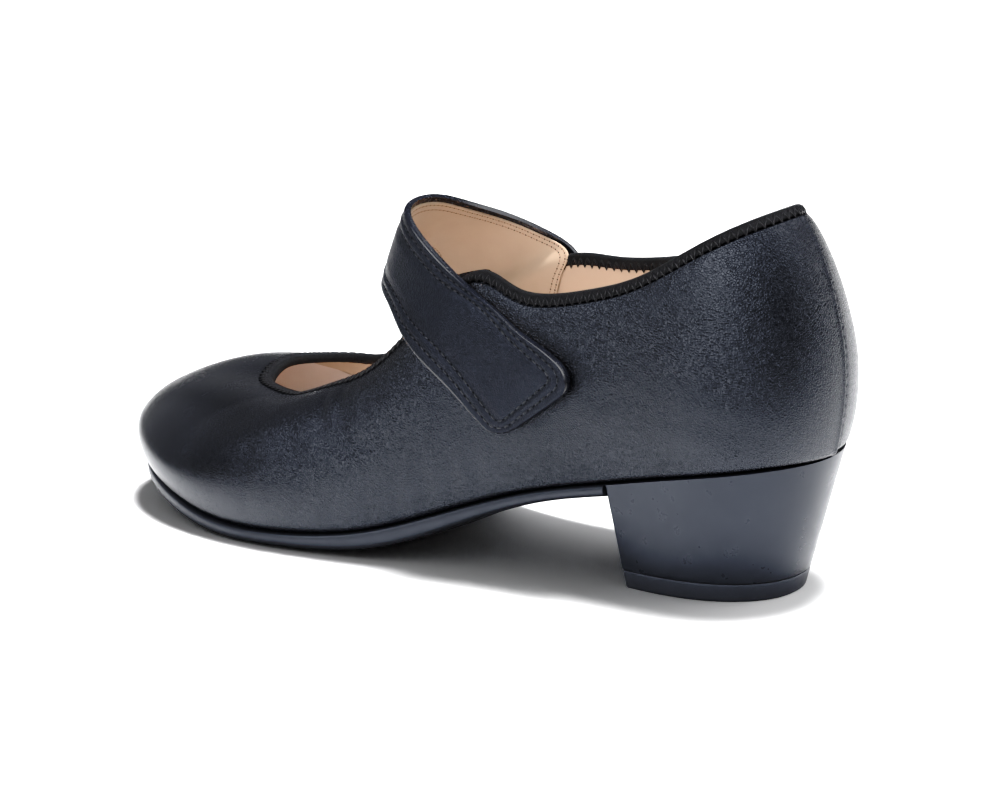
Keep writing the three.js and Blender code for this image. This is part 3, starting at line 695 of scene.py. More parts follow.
def upper_leather():
    q_top = seam_warp(columns_u, 1.0)
    grip = depth_t(q_top, tape(q_top) + GAP + 0.35)[:, None]
    wall_line = last(q_top[:, None], np.linspace(0, 1, 40)[None, :] * grip)
    wall = np.linalg.norm(np.diff(wall_line, axis=1), axis=2).sum(1)[:, None]
    heights = np.array([0, 0.25, 0.55, 0.95, 1.4, 1.9])[None, :]
    body = np.linspace(0, 1, 178)[None, 1:]
    t = np.concatenate([heights / wall * grip, mix(2.4 / wall, 1.0, body) * grip], 1)
    u = columns_u[:, None]
    outer = shell(seam_warp(u, t), t, leather_off(u, t) + feather_tuck(t / grip * wall))
    x = near(u)
    lap = np.where(x > 0, LAP_STEP * 0.4 * (1 - ease(x / LAP_REACH)), 0) - 0.15 * bell(x, 0.5)
    rim = np.stack([depth_t(q_top, d) for d in (tape(q_top) + GAP, tape(q_top) * 0.5, 1.1)], 1)
    q_rim = np.repeat(q_top[:, None], 3, 1)
    rim_out = shell(q_rim, rim, lap - SKIVE)
    rim_in = shell(q_rim, rim[:, ::-1], -1.0)
    t_in = grip * np.linspace(1, 0.03, 7)[None, :]
    inner = shell(seam_warp(u, t_in), t_in, -1.05)
    low = foot(seam_warp(columns_u, 0.0))
    n = outward(seam_warp(columns_u, 0.0))
    under = [np.concatenate([low[:, :2] + n * out, low[:, 2:] + rise], 1)
             for out, rise in ((-2.2, 0.35), (-1.5, 0))]
    points = np.concatenate([outer, rim_out, rim_in, inner, np.stack(under, 1)], 1)
    return grid("upper_leather", points, black_leather.m, True)


upper = upper_leather()
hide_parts("upper")


def vamp_sheet():
    """A sheet of lining all round the inside of the wall."""
    q = np.linspace(0, ROUND, 420, endpoint=False)[:, None]
    t = mix(np.full(q.shape, 0.02), depth_t(q, 0.9), np.linspace(0, 1, 46)[None, :])
    points = np.concatenate([shell(q, t, -WALL + 0.12), shell(q, t[:, ::-1], -1.08)], 1)
    return grid("vamp_lining", points, vamp_pink.m, True, sharp=50)


vamp_lining = vamp_sheet()

# Quarter lining, laid over the vamp lining, its front edges running down and back on both sides.
front_edge = Spline([0.0, 0.3, 0.5, 0.57, 0.61, 0.8, 1.0], [0.664, 0.642, 0.620, 0.609, 0.597, 0.580, 0.566])


def quarter_lining():
    columns, rows = 330, 44
    t = np.concatenate([np.linspace(0.03, 0.93, rows - 1), [1.0]])
    reach = [(1 - front_edge(k)) * ROUND for k in t]
    q = np.stack([np.linspace(-r, r, columns) for r in reach], 1)
    tt = t[None, :] * depth_t(q, 1.0)
    edge = np.minimum(np.arange(columns), np.arange(columns)[::-1])[:, None]
    thick = 0.42 * ease((edge + 0.6) / 1.6)
    points = np.concatenate([shell(q, tt, -WALL - thick + 0.12), shell(q, tt, -WALL + 0.16)[:, ::-1]], 1)
    return grid("quarter_lining", points, quarter_beige.m, False, sharp=60)


quarter = quarter_lining()

# Binding.
tape_q = np.concatenate([np.linspace(-8, 8, 33)[:-1], np.linspace(8, ROUND - 8, 620)[:-1]])
tape_run = run_along(topline(np.append(tape_q, tape_q[0] + ROUND)))
TOP_RUN = tape_run[-1]
OUT_IN = GAP - SKIVE
OUT_OUT = OUT_IN + TAPE_THICK
IN_IN = SKIVE - WALL - GAP
IN_OUT = IN_IN - TAPE_THICK - 0.10


def lap_top(q):
    """The lap of the seam under the tape."""
    x = near(q) - SEAM_TOP
    return LAP_STEP * 0.4 * ease((x + 0.6) / 1.2) * (1 - ease(x / LAP_REACH))


def binding():
    q = tape_q
    w = tape(q)
    extra = lap_top(q)
    mid, half = (OUT_OUT + IN_OUT) / 2, (OUT_OUT - IN_OUT) / 2
    sections, place = [], []

    def add(depth, off, past, v):
        sections.append(shell(q, depth_t(q, depth), off, past))
        place.append(np.stack([tape_run[:-1], v + 0 * q], 1))

    for k in np.linspace(0, 1, 9):
        depth = mix(w, 1.25, k)
        plump = 0.16 * np.sin(np.pi * min(1, 0.12 + 0.88 * k)) - 0.22 * (1 - ease(k / 0.14))
        add(depth, OUT_OUT + extra + plump, 0.0, -depth)
    for a in np.linspace(12, 168, 9):
        c, s = math.cos(math.radians(a)), math.sin(math.radians(a))
        add(0.0, mid + half * c + extra * (1 + c) / 2, -1.15 * (1 - s), 1.2 + a / 60)
    for k in np.linspace(0, 1, 8):
        depth = mix(1.25, w, k)
        add(depth, IN_OUT - 0.12 * np.sin(np.pi * k), 0.0, 4.5 + depth)
    add(w - 0.05, IN_IN, 0.0, 10.0)
    add(1.3, IN_IN, 0.0, 11.0)
    add(1.3, OUT_IN + extra, 0.0, 12.0)
    add(w - 0.05, OUT_IN + extra, 0.0, 13.0)
    uv = np.stack(place + [place[0]], 1)
    uv = np.concatenate([uv, uv[:1] + [TOP_RUN, 0]], 0)
    return grid("binding_tape", np.stack(sections, 1), tape_black.m, True, uv=uv)


tape_piece = binding()
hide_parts("binding")

TOOTH = 2.6
teeth = int(round(TOP_RUN / TOOTH))
# way, depth past the tape's edge, on the tape or not: the corners of one tooth
TOOTH_POINTS = [(0.0, -2.2, True), (0.30, -0.7, True), (0.42, 0.15, False), (0.5, 0.72, False),
                (0.58, 0.15, False), (0.70, -0.7, True), (1.0, -2.2, True)]


def zigzag(name, inside, seed):
    runs = []
    pitch = TOP_RUN / teeth
    jitter = np.random.default_rng(seed).uniform(-0.12, 0.12, (teeth, 3))
    for k in range(teeth):
        places = []
        for ds, dd, on_tape in TOOTH_POINTS:
            at = k * pitch + ds * pitch + jitter[k, 0] * 0.5
            q = np.interp(np.mod(at, TOP_RUN), tape_run, np.append(tape_q, tape_q[0] + ROUND))
            d = tape(q) + dd + (jitter[k, 1] if dd > 0 else 0)
            if inside:
                off = (IN_OUT - 0.10) if on_tape else (-WALL - 0.52)
            else:
                off = (OUT_OUT + lap_top(q) + 0.16) if on_tape else (0.20 + lap_top(q) * 2.2)
            places.append((float(q), float(depth_t(q, d)), float(off)))
        q, t, off = np.array(places).T
        runs.append((shell(q, t, off), frame_at(q, t)[1] * (-1 if inside else 1)))
    return threads(name, runs, thread_black.m, 0.30, 5, 0.7, 0.8)


for piece in (zigzag("zigzag_outside", False, 3), zigzag("zigzag_inside", True, 7)):
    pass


# Stitches across the back seam.
def back_stitches():
    runs = []
    u = np.array([0.25, -0.1, -0.5, -0.95, -1.35])
    sunk = np.array([-0.16, 0.02, 0.08, 0.04, -0.14])
    slant = np.array([-0.001, 0, 0.0006, 0.001, 0.0016])
    for k in range(1, int(BACK_RUN * 0.90 / STITCH_PITCH) + 1):
        t = k * STITCH_PITCH / BACK_RUN
        q = seam_warp(np.mod(u, ROUND), t)
        off = leather_off(u, np.full(5, t)) + sunk
        runs.append((shell(q, t + slant, off), frame_at(q, t + slant)[1]))
    return threads("back_seam_stitches", runs, thread_black.m, 0.26, 5, 0.6, 0.5)


back = back_stitches()

# Strap.
def wall_rows(table):
    """Rear, middle and front points of the strap where it lies on the wall."""
    rear_q, rear_t, front_q, front_t, lift = table.T
    return np.stack([shell(ROUND * mix(rear_q, front_q, k), mix(rear_t, front_t, k), lift + STRAP_THICK)
                     for k in (0, 0.5, 1)], 1)


def arch_rows(table):
    rear = np.stack([table[:, 0] * BALL_WIDTH, along_y(table[:, 1]), table[:, 2] * INSTEP_HEIGHT], 1)
    front = np.stack([table[:, 3] * BALL_WIDTH, along_y(table[:, 4]), table[:, 5] * INSTEP_HEIGHT], 1)
    return np.stack([rear, (rear + front) / 2, front], 1)


strap_lines = np.concatenate([wall_rows(STRAP_INNER), arch_rows(STRAP_ARCH), wall_rows(STRAP_OUTER)])
strap_way = run_along(strap_lines[:, 1])
STRAP_RUN = float(strap_way[-1])
strap_curve = Spline(strap_way, strap_lines.reshape(len(strap_lines), 9))


def strap_face(s, w):
    s, w = np.broadcast_arrays(np.asarray(s, float), np.asarray(w, float))
    p = strap_curve(s).reshape(*s.shape, 3, 3)
    a = ((1 - w) * (1 - 2 * w))[..., None]
    b = (4 * w * (1 - w))[..., None]
    c = (w * (2 * w - 1))[..., None]
    return a * p[..., 0, :] + b * p[..., 1, :] + c * p[..., 2, :]


def strap_in(s, w):
    """Direction into the strap's thickness."""
    s, w = np.broadcast_arrays(np.asarray(s, float), np.asarray(w, float))
    along = strap_face(np.minimum(STRAP_RUN, s + 0.2), w) - strap_face(np.maximum(0, s - 0.2), w)
    across = strap_face(s, w + 0.01) - strap_face(s, w - 0.01)
    return unit(np.cross(along, across))


def strap_point(s, w, depth):
    return strap_face(s, w) + strap_in(s, w) * np.asarray(depth, float)[..., None]


def strap_width(s):
    return np.linalg.norm(strap_face(s, np.ones_like(s)) - strap_face(s, np.zeros_like(s)), axis=-1)


def inside_by(s, y, width):
    """Distance in from the strap's rounded outline."""
    half_x, half_y = STRAP_RUN / 2, width / 2
    qx = np.abs(s - half_x) - (half_x - TAB_CORNER)
    qy = np.abs(y - half_y) - (half_y - TAB_CORNER)
    corner = np.hypot(np.maximum(qx, 0), np.maximum(qy, 0))
    return TAB_CORNER - corner - np.minimum(np.maximum(qx, qy), 0)


ROW_A, ROW_B = 2.5, 5.1
EDGE_ROUND = 0.95


def strap_relief(d):
    """Depth of the outer face at a distance in from the outline: rounded edge, sewn grooves, soft pad."""
    k = np.clip(d, 0, EDGE_ROUND)
    rounded = EDGE_ROUND - np.sqrt(np.maximum(0, EDGE_ROUND ** 2 - (EDGE_ROUND - k) ** 2))
    sewn = 0.20 * bell(d - ROW_A, 0.42) + 0.20 * bell(d - ROW_B, 0.42)
    pad = -0.22 * bell(d - 3.8, 0.75) - 0.30 * ease((d - ROW_B - 0.4) / 3.2)
    return rounded + sewn + pad + 0.25


# places in from an edge, close together at the rounding and at the two sewn rows
EDGE_STEPS = np.array([0, 0.05, 0.14, 0.28, 0.46, 0.7, 1.0, 1.5, 2.0, 2.25, 2.5, 2.75, 3.1, 3.8, 4.5,
                       4.85, 5.1, 5.35, 5.8])
END_STEPS = np.array([0, 0.05, 0.14, 0.28, 0.46, 0.7, 1.0, 1.4, 1.9, 2.2, 2.5, 2.8, 3.3, 3.9, 4.5,
                      4.85, 5.1, 5.4, 6.0, 6.8, 7.6])


def strap_columns(inset, width, count):
    """Places across, close together near both edges."""
    span = width - 2 * inset
    left = EDGE_STEPS[None, :] * np.minimum(1.0, span / 2 / 6.5)[:, None]
    a = left[:, -1:]
    mid = a + (span[:, None] - 2 * a) * np.linspace(0, 1, count)[None, 1:-1]
    return np.concatenate([left, mid, span[:, None] - left[:, ::-1]], 1) + inset[:, None]


def strap_inset(s):
    """How far the rounded corners stand in from the strap's edges."""
    d = np.minimum(s, STRAP_RUN - s)
    k = np.clip(TAB_CORNER - d, 0, TAB_CORNER)
    return np.where(d >= TAB_CORNER, 0.0, TAB_CORNER - np.sqrt(np.maximum(0, TAB_CORNER ** 2 - k ** 2)))


def strap_body():
    s = np.concatenate([END_STEPS, np.linspace(8.3, STRAP_RUN - 8.3, 210), STRAP_RUN - END_STEPS[::-1]])
    width = strap_width(s)
    y = strap_columns(strap_inset(s), width, 26)
    n = y.shape[1]
    w = y / width[:, None]
    ss = np.repeat(s[:, None], n, 1)
    outer = strap_point(ss, w, strap_relief(inside_by(ss, y, width[:, None])))
    pick = np.linspace(0, n - 1, 14).astype(int)[::-1]
    inner = strap_point(ss[:, pick], w[:, pick], np.full((len(s), 14), STRAP_THICK - 0.42))
    points = np.concatenate([outer, inner], 1)
    painted = np.ones(points.shape[1], int)
    painted[5:n - 6] = 0
    skins = [strap_leather.m, strap_edge.m]
    return grid("strap_leather", points, skins, False, rows_material=painted, sharp=75)


strap = strap_body()
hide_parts("strap")


def outline_path(d):
    """Places along the strap's outline moved in by d: both edges and round the outer end."""
    r = max(0.5, TAB_CORNER - d)
    corner_s = STRAP_RUN - TAB_CORNER
    width_end = float(strap_width(np.array([corner_s]))[0])

    def corner(start, stop):
        turn = np.radians(np.linspace(start, stop, 24)[1:])
        return [(corner_s + r * math.sin(a), TAB_CORNER - r * math.cos(a)) for a in turn]

    edge = [(x, d) for x in np.arange(3.0, corner_s, 0.2)]
    end = [(STRAP_RUN - d, y) for y in np.arange(TAB_CORNER, width_end - TAB_CORNER, 0.2)]
    first, second = np.array(edge + corner(0, 90) + end), np.array(corner(90, 0) + edge[::-1])
    s = np.concatenate([first[:, 0], second[:, 0]])
    width = strap_width(np.clip(s, 0, STRAP_RUN))
    y = np.concatenate([first[:, 1], width[len(first):] - second[:, 1]])
    return np.stack([s, y, width], 1), run_along(strap_face(np.clip(s, 0, STRAP_RUN), y / width))


def along_path(path, run, at):
    """Places on a path at given lengths along it."""
    return np.stack([np.interp(at, run, path[:, c]) for c in range(path.shape[1])], 1)


def strap_rows():
    runs, hole_shades = [], []
    for d in (ROW_A, ROW_B):
        path, run = outline_path(d)
        relief = strap_relief(np.full(5, d))
        for k in range(int(run[-1] / STITCH_PITCH)):
            centre = k * STITCH_PITCH + STITCH_PITCH / 2
            x, y, width = along_path(path, run, centre + np.array([-0.98, -0.6, 0, 0.6, 0.98])).T
            lift = np.array([0.22, -0.02, -0.12, -0.02, 0.22])
            runs.append((strap_point(x, y / width, relief + lift), -strap_in(x, y / width)))
            # the holes are flat dark discs: painted shade
            hole = centre + STITCH_PITCH / 2 + np.array([-0.30, -0.15, 0.0, 0.15, 0.30])
            x, y, width = along_path(path, run, hole).T
            hole_shades.append((strap_point(x, y / width, relief - 0.02), -strap_in(x, y / width)))
    return (threads("strap_stitches", runs, thread_navy.m, 0.24, 6, 0.6, 0.7),
            threads("strap_needle_hole_shade", hole_shades, hole_shade_dark.m, 0.36, 6, 0.12, 0.5))


for piece in strap_rows():
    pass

# Strap lining: on the strap's inner face, and at the inner end down inside the quarter.
LIN_MARGIN = 2.1
LIN_COLUMNS = 64
LIN_LEAVES = 34.5


def inner_rear(t):
    return np.interp(t, [0.2, 0.5, 0.75, 0.84, 0.94, 1.0], [0.757, 0.770, 0.780, 0.783, 0.788, 0.791])


def inner_front(t):
    return np.interp(t, [0.2, 0.5, 0.8, 1.0], [0.735, 0.738, 0.742, 0.746])


def strap_lining():
    v = np.linspace(0, 1, LIN_COLUMNS)
    end = STRAP_RUN - LIN_MARGIN
    s = np.concatenate([end - np.array([0, 0.15, 0.4, 0.8, 1.4, 2.2, 3.2, 4.4, 5.8]),
                        np.linspace(STRAP_RUN - 9.5, LIN_LEAVES, 90)])
    r = TAB_CORNER - LIN_MARGIN
    k = np.maximum(0.0, r - (end - s))
    inset = ((LIN_MARGIN + (r - np.sqrt(np.maximum(0.0, r * r - k * k)))) / strap_width(s))[:, None]
    w = mix(inset, 1 - inset, v[None, :])
    face = strap_point(np.repeat(s[:, None], LIN_COLUMNS, 1), w, np.full(w.shape, STRAP_THICK + 0.02))
    # down inside the quarter
    t_line = np.linspace(0.91, 0.30, 34)
    q = ROUND * mix(inner_rear(t_line)[:, None], inner_front(t_line)[:, None], v[None, :])
    t = np.repeat(t_line[:, None], LIN_COLUMNS, 1)
    wall = shell(q, t, np.full(t.shape, IN_OUT - 0.42) + 0.9 * ease((0.72 - t) / 0.12))
    # smooth passage between the two
    a, b = face[-1], wall[0]
    reach = np.linalg.norm(b - a, axis=1)[:, None]
    leave = unit(face[-1] - face[-3]) * reach * 1.8
    arrive = unit(wall[0] - wall[2]) * reach * -1.4
    k = np.linspace(0, 1, 34)[1:-1][:, None, None]
    passage = ((2 * k ** 3 - 3 * k ** 2 + 1) * a + (k ** 3 - 2 * k ** 2 + k) * leave
               + (-2 * k ** 3 + 3 * k ** 2) * b + (k ** 3 - k ** 2) * arrive)
    return np.concatenate([face, passage, wall])


lining_sheet = strap_lining()
lining_normal = unit(np.cross(np.gradient(lining_sheet, axis=0), np.gradient(lining_sheet, axis=1)))
# make the normals point to the foot
FOOT_CENTRE = np.array([0.0, 10.0, 70.0])
if ((FOOT_CENTRE - lining_sheet) * lining_normal).sum() < 0:
    lining_normal = -lining_normal


def lining_mesh():
    edge = np.minimum(np.arange(LIN_COLUMNS), np.arange(LIN_COLUMNS)[::-1])[None, :, None]
    front_ = lining_sheet + lining_normal * 0.10 * ease((edge + 0.2) / 1.6)
    back_ = (lining_sheet - lining_normal * 0.45)[:, ::-1]
    return grid("strap_lining", np.concatenate([front_, back_], 1), strap_beige_shaded.m, False, sharp=60)


strap_inner = lining_mesh()

LIN_PITCH = 1.9


def sheet_rows():
    """Two sewn rows along each edge of the strap's lining."""
    runs, hole_shades = [], []
    rise = np.array([0.0, 0.10, 0.14, 0.10, 0.0])[:, None]
    for turn in (1, -1):
        p, m = lining_sheet[:, ::turn], lining_normal[:, ::turn]
        gone = [run_along(row) for row in p]
        for d in (0.95, 3.1):
            rows = range(8, len(p) - 1)
            path = np.stack([along_path(np.hstack([p[i], m[i]]), gone[i], [d])[0] for i in rows])
            run = run_along(path[:, :3])
            for c in np.arange(1.0, run[-1] - 1, LIN_PITCH):
                at = along_path(path, run, c + np.array([-0.55, -0.3, 0, 0.3, 0.55]))
                n = unit(at[:, 3:])
                runs.append((at[:, :3] + n * rise, n))
                # the holes are flat brown discs: painted shade
                at = along_path(path, run, c + LIN_PITCH / 2 + np.array([-0.26, -0.13, 0.0, 0.13, 0.26]))
                n = unit(at[:, 3:])
                hole_shades.append((at[:, :3] + n * 0.13, n))
    return (threads("strap_lining_stitches", runs, thread_brown.m, 0.13, 5, 0.6, 0.6),
            threads("strap_lining_hole_shade", hole_shades, hole_shade_brown.m, 0.24, 6, 0.15, 0.5))


for piece in sheet_rows():
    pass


# Plates under the foot.
def station_q(s):
    """The way round, outer and inner, at a station from the back to the tip."""
    way = np.append(WAY, ROUND)
    rows = np.arange(len(way))
    return np.interp(s, rows, way), np.interp(2 * TIP_ROW - s, rows, way)


def plate_lines(count):
    k = np.linspace(0, 1, count)
    return TIP_ROW * mix(k, (1 - np.cos(np.pi * k)) / 2, 0.55)


def edge_line(q, out, drop):
    p = foot(q)
    p[..., :2] += outward(q) * np.asarray(out, float)[..., None]
    p[..., 2] += drop
    return p


def insole():
    st = plate_lines(150)
    outer_q, inner_q = station_q(st)

    def wall_edge(q):
        """Where the inside of the wall meets the sock's edge."""
        ts = np.linspace(0.01, 0.25, 60)
        rise = last(q[:, None], ts[None, :])[..., 2] - foot(q)[:, 2:3]
        t = np.array([np.interp(INSOLE_THICK + 0.9, r, ts) for r in rise])
        return shell(q, t, -WALL - 0.10)

    a, b = wall_edge(inner_q), wall_edge(outer_q)
    base_a, base_b = foot(inner_q), foot(outer_q)
    w = 0.5 - 0.5 * np.cos(np.linspace(0, np.pi, 41))
    top = a[:, None, :] * (1 - w)[None, :, None] + b[:, None, :] * w[None, :, None]
    flat_z = mix(base_a[:, None, 2], base_b[:, None, 2], w[None, :]) + INSOLE_THICK
    rise = top[..., 2] - flat_z
    span_w = np.linalg.norm(b - a, axis=1)[:, None]
    from_edge = np.minimum(w, 1 - w)[None, :] * span_w
    ends = np.minimum(st, TIP_ROW - st)[:, None]
    from_edge = np.minimum(from_edge, ends * 9.0)
    cup = np.exp(-(from_edge / 4.5) ** 1.5)
    at = 0.5 - top[..., 1] / LENGTH
    bed = -0.5 * ease((from_edge - 4) / 14) * (1 + bell(at - 0.1, 0.09))
    top[..., 2] = flat_z + rise * cup + bed
    low = top.copy()
    low[..., 2] = np.minimum(low[..., 2] - 1.0, flat_z - INSOLE_THICK + 0.9)
    return grid("sock", np.concatenate([top, low[:, ::-1]], 1), sock_pink.m, False, sharp=60)


sock = insole()
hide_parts("insole")

sole_edge = Spline(SOLE[:, 0], SOLE[:, 1] * SOLE_THICK)
sole_crown = Spline(SOLE[:, 0], SOLE[:, 2])
BREAST_Y = along_y(BREAST_TOP)


def outsole():
    st = plate_lines(170)
    outer_q, inner_q = station_q(st)
    at = 0.5 - foot(outer_q)[:, 1] / LENGTH
    e = sole_edge(at)
    spare = np.maximum(0, e - SOLE_THICK)
    none = 0 * e
    # out past the feather line and down, from the top of the sole's edge to its foot
    levels = [(none - 1.6, none - 0.02), (none - 0.35, none - 0.05), (none + 0.10, none - 0.16),
              (none + 0.40, none - 0.42), (none + 0.56, none - 0.85), (none + 0.60, -e * 0.40),
              (none + 0.52, -e * 0.62), (none + 0.22, -e * 0.78), (none - 0.30, -e * 0.88),
              (-1.0 - spare * 0.8, -e * 0.96), (SOLE_EDGE - 2.0 - spare * 1.6, -e)]
    right = np.stack([edge_line(outer_q, out, drop - GAP) for out, drop in levels], 1)
    left = np.stack([edge_line(inner_q, out, drop - GAP) for out, drop in levels], 1)
    w = np.linspace(0, 1, 26)[1:-1]
    top = left[:, :1] * (1 - w)[None, :, None] + right[:, :1] * w[None, :, None]
    low = right[:, -1:] * (1 - w)[None, :, None] + left[:, -1:] * w[None, :, None]
    ends = ease(st / 2) * ease((TIP_ROW - st) / 2)
    low[..., 2] -= (sole_crown(at) * ends)[:, None] * (1 - (2 * w[None, :] - 1) ** 2)
    pts = np.concatenate([top, right, low, left[:, ::-1]], 1)
    pts[..., 2] = np.maximum(pts[..., 2], 0.0)
    ob = grid("sole", pts, sole_black.m, False)
    bm = bmesh.new()
    bm.from_mesh(ob.data)
    bmesh.ops.remove_doubles(bm, verts=bm.verts, dist=1e-6)
    cut = bmesh.ops.bisect_plane(bm, geom=bm.verts[:] + bm.edges[:] + bm.faces[:], clear_outer=True,
                                 plane_co=(0, (BREAST_Y - GAP - SHIFT[1]) * MM, 0), plane_no=(0, 1, 0))
    edges = [x for x in cut["geom_cut"] if isinstance(x, bmesh.types.BMEdge)]
    bmesh.ops.contextual_create(bm, geom=edges)
    bmesh.ops.recalc_face_normals(bm, faces=bm.faces)
    bm.to_mesh(ob.data)
    bm.free()
    ob.data.set_sharp_from_angle(angle=math.radians(50))
    return ob


sole = outsole()
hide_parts("outsole")


# Heel.
def breast_q(a, b):
    """Where the feather line crosses the heel's breast, between two ways round."""
    for _ in range(50):
        m = (a + b) / 2
        a, b = (m, b) if foot(m)[1] > BREAST_Y else (a, m)
    return (a + b) / 2


TIP_Q = float(WAY[TIP_ROW])
outer_breast, inner_breast = breast_q(0, TIP_Q), breast_q(ROUND, TIP_Q)
HEEL_SIDE = 70


def heel_ring(height, shrink=0.0):
    """The heel's outline at a height, or just under the feather line when height is None."""
    turn_q = np.concatenate([np.linspace(inner_breast, ROUND, HEEL_SIDE)[:-1],
                             np.linspace(0, outer_breast, HEEL_SIDE)])
    p = edge_line(turn_q, np.full(len(turn_q), 0.1), 0.0)
    last_side = len(p) - 1
    k = np.linspace(0, 1, 22)[1:-1][:, None]
    p = np.concatenate([p, p[-1] * (1 - k) + p[0] * k])
    half = float(foot(outer_breast)[0])
    turn = np.arctan2(p[:, 0] / half, (p[:, 1] - BREAST_Y) / (along_y(0) - BREAST_Y))
    side, back_ = np.sin(turn), np.cos(turn)
    reach = (np.abs(side) ** HEEL_SQUARE + np.abs(back_) ** HEEL_SQUARE) ** (-1 / HEEL_SQUARE)
    flat = (np.arange(len(p)) > last_side) | (np.abs(p[:, 1] - BREAST_Y) < 0.01)
    side = np.where(flat, p[:, 0] / half, reach * side)
    back_ = np.where(flat, 0, reach * back_)
    pinch = 1 - HEEL_PINCH * (1 - back_) ** 2
    low = np.stack([HEEL_SHIFT * BALL_WIDTH + side * half * HEEL_TAPER * pinch,
                    along_y(mix(BREAST_FOOT, HEEL_BACK_FOOT, back_)), 0 * side], 1)
    z = (p[:, 2] - GAP - 0.12) if height is None else np.full(len(p), height)
    ring = low + (p - low) * (z / p[:, 2])[:, None]
    # round the two upright corners of the breast
    n = len(ring)
    out = ring.copy()
    for corner in (last_side, 0):
        c = ring[corner]
        a, b = (c + unit(ring[(corner + m) % n] - c) * 0.8 for m in (-3, 3))
        for m in range(-3, 4):
            k = (m + 3) / 6
            out[(corner + m) % n] = (1 - k) ** 2 * a + 2 * k * (1 - k) * c + k * k * b
    return out - unit((out - out.mean(0)) * [1, 1, 0]) * shrink


def heel_piece(name, rings, material):
    """Rings joined by their sides, with a flat face of two bands at both ends."""
    pts = np.stack(rings)
    nu, nv = pts.shape[:2]
    faces = grid_faces(nu, nv, False, True).tolist()
    points = pts.reshape(-1, 3)
    for ring_i, way in ((0, 1), (nu - 1, -1)):
        mid = pts[ring_i].mean(0)
        start = len(points)
        points = np.concatenate([points, mid + (pts[ring_i] - mid) * 0.5, mid[None]])
        for k in range(nv):
            j = (k + 1) % nv
            faces.append([ring_i * nv + k, ring_i * nv + j, start + j, start + k][::way])
            faces.append([start + k, start + j, start + nv][::way])
    return settle(make(name, points, faces, material, closed=False), 40)


heel_foot, heel_head = heel_ring(LIFT_THICK + 0.65), heel_ring(None)
rings = [heel_ring(LIFT_THICK + 0.12, 0.22), heel_ring(LIFT_THICK + 0.30, 0.05), heel_foot]
# straight lines from the foot of the heel to the feather line
rings += [mix(heel_foot, heel_head, k) for k in np.linspace(0, 1, 26)[1:]]
rings.append(heel_ring(None, 0.5) + [0, 0, 0.12])
heel = heel_piece("heel", rings, heel_satin.m)
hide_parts("heel_block")

lift_levels = [(0.0, 0.75), (0.0, 0.45), (0.18, 0.22), (0.5, 0.12)]
lift_levels += [(h, 0.10) for h in np.linspace(0.9, LIFT_THICK - 0.35, 8)]
lift_levels += [(LIFT_THICK - 0.12, 0.20), (LIFT_THICK, 0.6)]
lift_rings = [heel_ring(h, shrink) for h, shrink in lift_levels]
lift = heel_piece("lift", lift_rings, lift_black.m)
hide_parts("top_lift")

# Floor, camera and light.
def show(name, data):
    ob = bpy.data.objects.new(name, data)
    bpy.context.collection.objects.link(ob)
    return ob


FLOOR_REACH = 4.0
floor_mesh = bpy.data.meshes.new("floor")
floor_corners = [(x * FLOOR_REACH, y * FLOOR_REACH, 0) for x, y in ((-1, -1), (1, -1), (1, 1), (-1, 1))]
floor_mesh.from_pydata(floor_corners, [], [(0, 1, 2, 3)])
floor = show("floor", floor_mesh)
ground = Surface("floor_pale")
ground.color(ground.ramp(ground.noise(1.5, 3), [(0.3, (0.88, 0.88, 0.885)), (0.7, (0.90, 0.90, 0.905))]))
ground.set(Roughness=0.9, Specular_IOR_Level=0.2)
floor_mesh.materials.append(ground.m)

# The camera's direction from the shoe, its roll, its distance and the place that it looks at.
AZIMUTH, RISE, ROLL = math.radians(126.516), math.radians(15.255), math.radians(-2.656)
DISTANCE = 1.100
LENS = 132.35
AIM = (Vector((-1.284, 9.829, 42.413)) - Vector(SHIFT)) * MM
UP = Vector((0, 0, 1))
flat_back = Vector((math.sin(AZIMUTH), -math.cos(AZIMUTH), 0))
back_dir = flat_back * math.cos(RISE) + UP * math.sin(RISE)
right = (-back_dir).cross(UP).normalized()
up_dir = right.cross(-back_dir)
image_right = right * math.cos(ROLL) + up_dir * math.sin(ROLL)
image_up = up_dir * math.cos(ROLL) - right * math.sin(ROLL)
cam_data = bpy.data.cameras.new("camera")
cam_data.sensor_width = 36
cam_data.lens = LENS
cam_data.clip_start = 0.01
camera = show("camera", cam_data)
turned = Matrix((image_right, image_up, back_dir)).transposed().to_4x4()
turned.translation = AIM + back_dir * DISTANCE
camera.matrix_world = turned
bpy.context.scene.camera = camera


def softbox(name, place, size, power):
    """A rectangular light that looks at the shoe."""
    data = bpy.data.lights.new(name, "AREA")
    data.shape = "RECTANGLE"
    data.size, data.size_y = size
    data.energy = power
    ob = show(name, data)
    ob.location = place
    ob.rotation_euler = (UP * 0.04 - place).to_track_quat("-Z", "Y").to_euler()
    return ob


# A large box with a narrow beam over the floor: its pool of light starts a little in front of the shoe's
# middle and to the left of it.
KEY_HEIGHT = 0.42
KEY_SIZE = 1.9
beam = (-UP + flat_back * 0.13 - right * 0.15).normalized()
go_back = (-flat_back - right * 0.14).normalized()
go_right = Vector((-go_back.y, go_back.x, 0))
go_right = go_right if go_right.dot(right) > 0 else -go_right
corner = flat_back * 0.250 - right * 0.150
middle = corner + (go_back + go_right) * (KEY_SIZE / 2) - beam * (KEY_HEIGHT / -beam.z)
key = softbox("key_over_floor", middle, (KEY_SIZE, KEY_SIZE), 31)
side_axis = (go_right - beam * go_right.dot(beam)).normalized()
key.rotation_euler = Matrix((side_axis, (-beam).cross(side_axis), -beam)).transposed().to_euler()
key.data.spread = math.radians(17)
key.visible_glossy = False

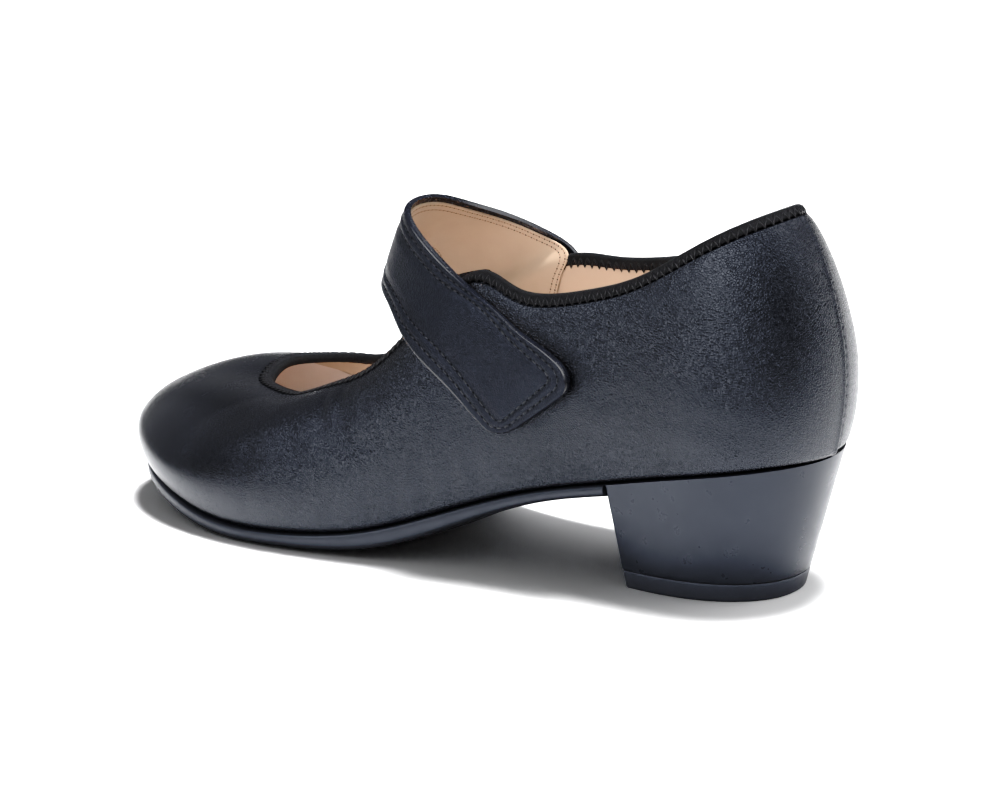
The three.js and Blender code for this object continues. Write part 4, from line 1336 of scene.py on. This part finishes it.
# A broad box in front lights the shoe alone, so the shade under the arch stays deep.
front = softbox("front_box", flat_back * 0.86 - right * 0.74 + UP * 0.90, (1.9, 0.9), 27)
apart = bpy.data.collections.new("floor_apart")
apart.objects.link(floor)
front.light_linking.receiver_collection = apart
apart.collection_objects[0].light_linking.link_state = "EXCLUDE"

world = bpy.data.worlds.new("studio")
bpy.context.scene.world = world
world.use_nodes = True
sky = Nodes(world.node_tree, "Generated")
bg = world.node_tree.nodes["Background"]


def toward(vector, stops):
    """Brightness by how far a direction leans towards a vector."""
    leaning = sky.span(sky.vector("DOT_PRODUCT", sky.place, tuple(vector)), -1.0, 1.0, 0.0, 1.0)
    return sky.ramp(leaning, [((at + 1) / 2, (v, v, v)) for at, v in stops])


def lean(side, rise):
    """Direction a number of degrees to the right of the camera and above the floor."""
    a, e = math.radians(side), math.radians(rise)
    return (flat_back * math.cos(a) + right * math.sin(a)) * math.cos(e) + UP * math.sin(e)


by_height = toward(UP, [(-0.1, 0.05), (0.07, 0.08), (0.24, 0.22), (0.45, 0.30), (0.66, 0.45), (0.90, 0.35)])
by_side = toward(flat_back, [(-0.95, 0.20), (-0.45, 0.20), (0.15, 0.80), (0.8, 1.0)])
by_right = toward(right, [(-0.6, 1.0), (0.3, 1.0), (0.65, 0.40), (0.9, 0.06)])
ambient = sky.vector("MULTIPLY", sky.vector("MULTIPLY", by_height, by_side), by_right)
right_box = toward(lean(92, 46), [(0.82, 0.0), (0.93, 2.8)])
left_box = toward(lean(-128, 14), [(0.86, 0.0), (0.95, 0.45)])
back_box = toward(lean(178, 15), [(0.82, 0.0), (0.95, 0.24)])
boxes = sky.vector("ADD", right_box, left_box)
sky.link(sky.vector("ADD", sky.vector("ADD", ambient, back_box), boxes), bg.inputs["Color"])
bg.inputs["Strength"].default_value = 1.0

# The picture's darks are pulled down as in the photo.
TONE = [(0.012, 0.0045), (0.030, 0.013), (0.055, 0.030), (0.085, 0.064), (0.140, 0.130), (0.300, 0.305)]
view = bpy.context.scene.view_settings
view.view_transform = "Standard"
view.use_curve_mapping = True
for bright, shown in TONE:
    view.curve_mapping.curves[3].points.new(bright, shown)
view.curve_mapping.update()
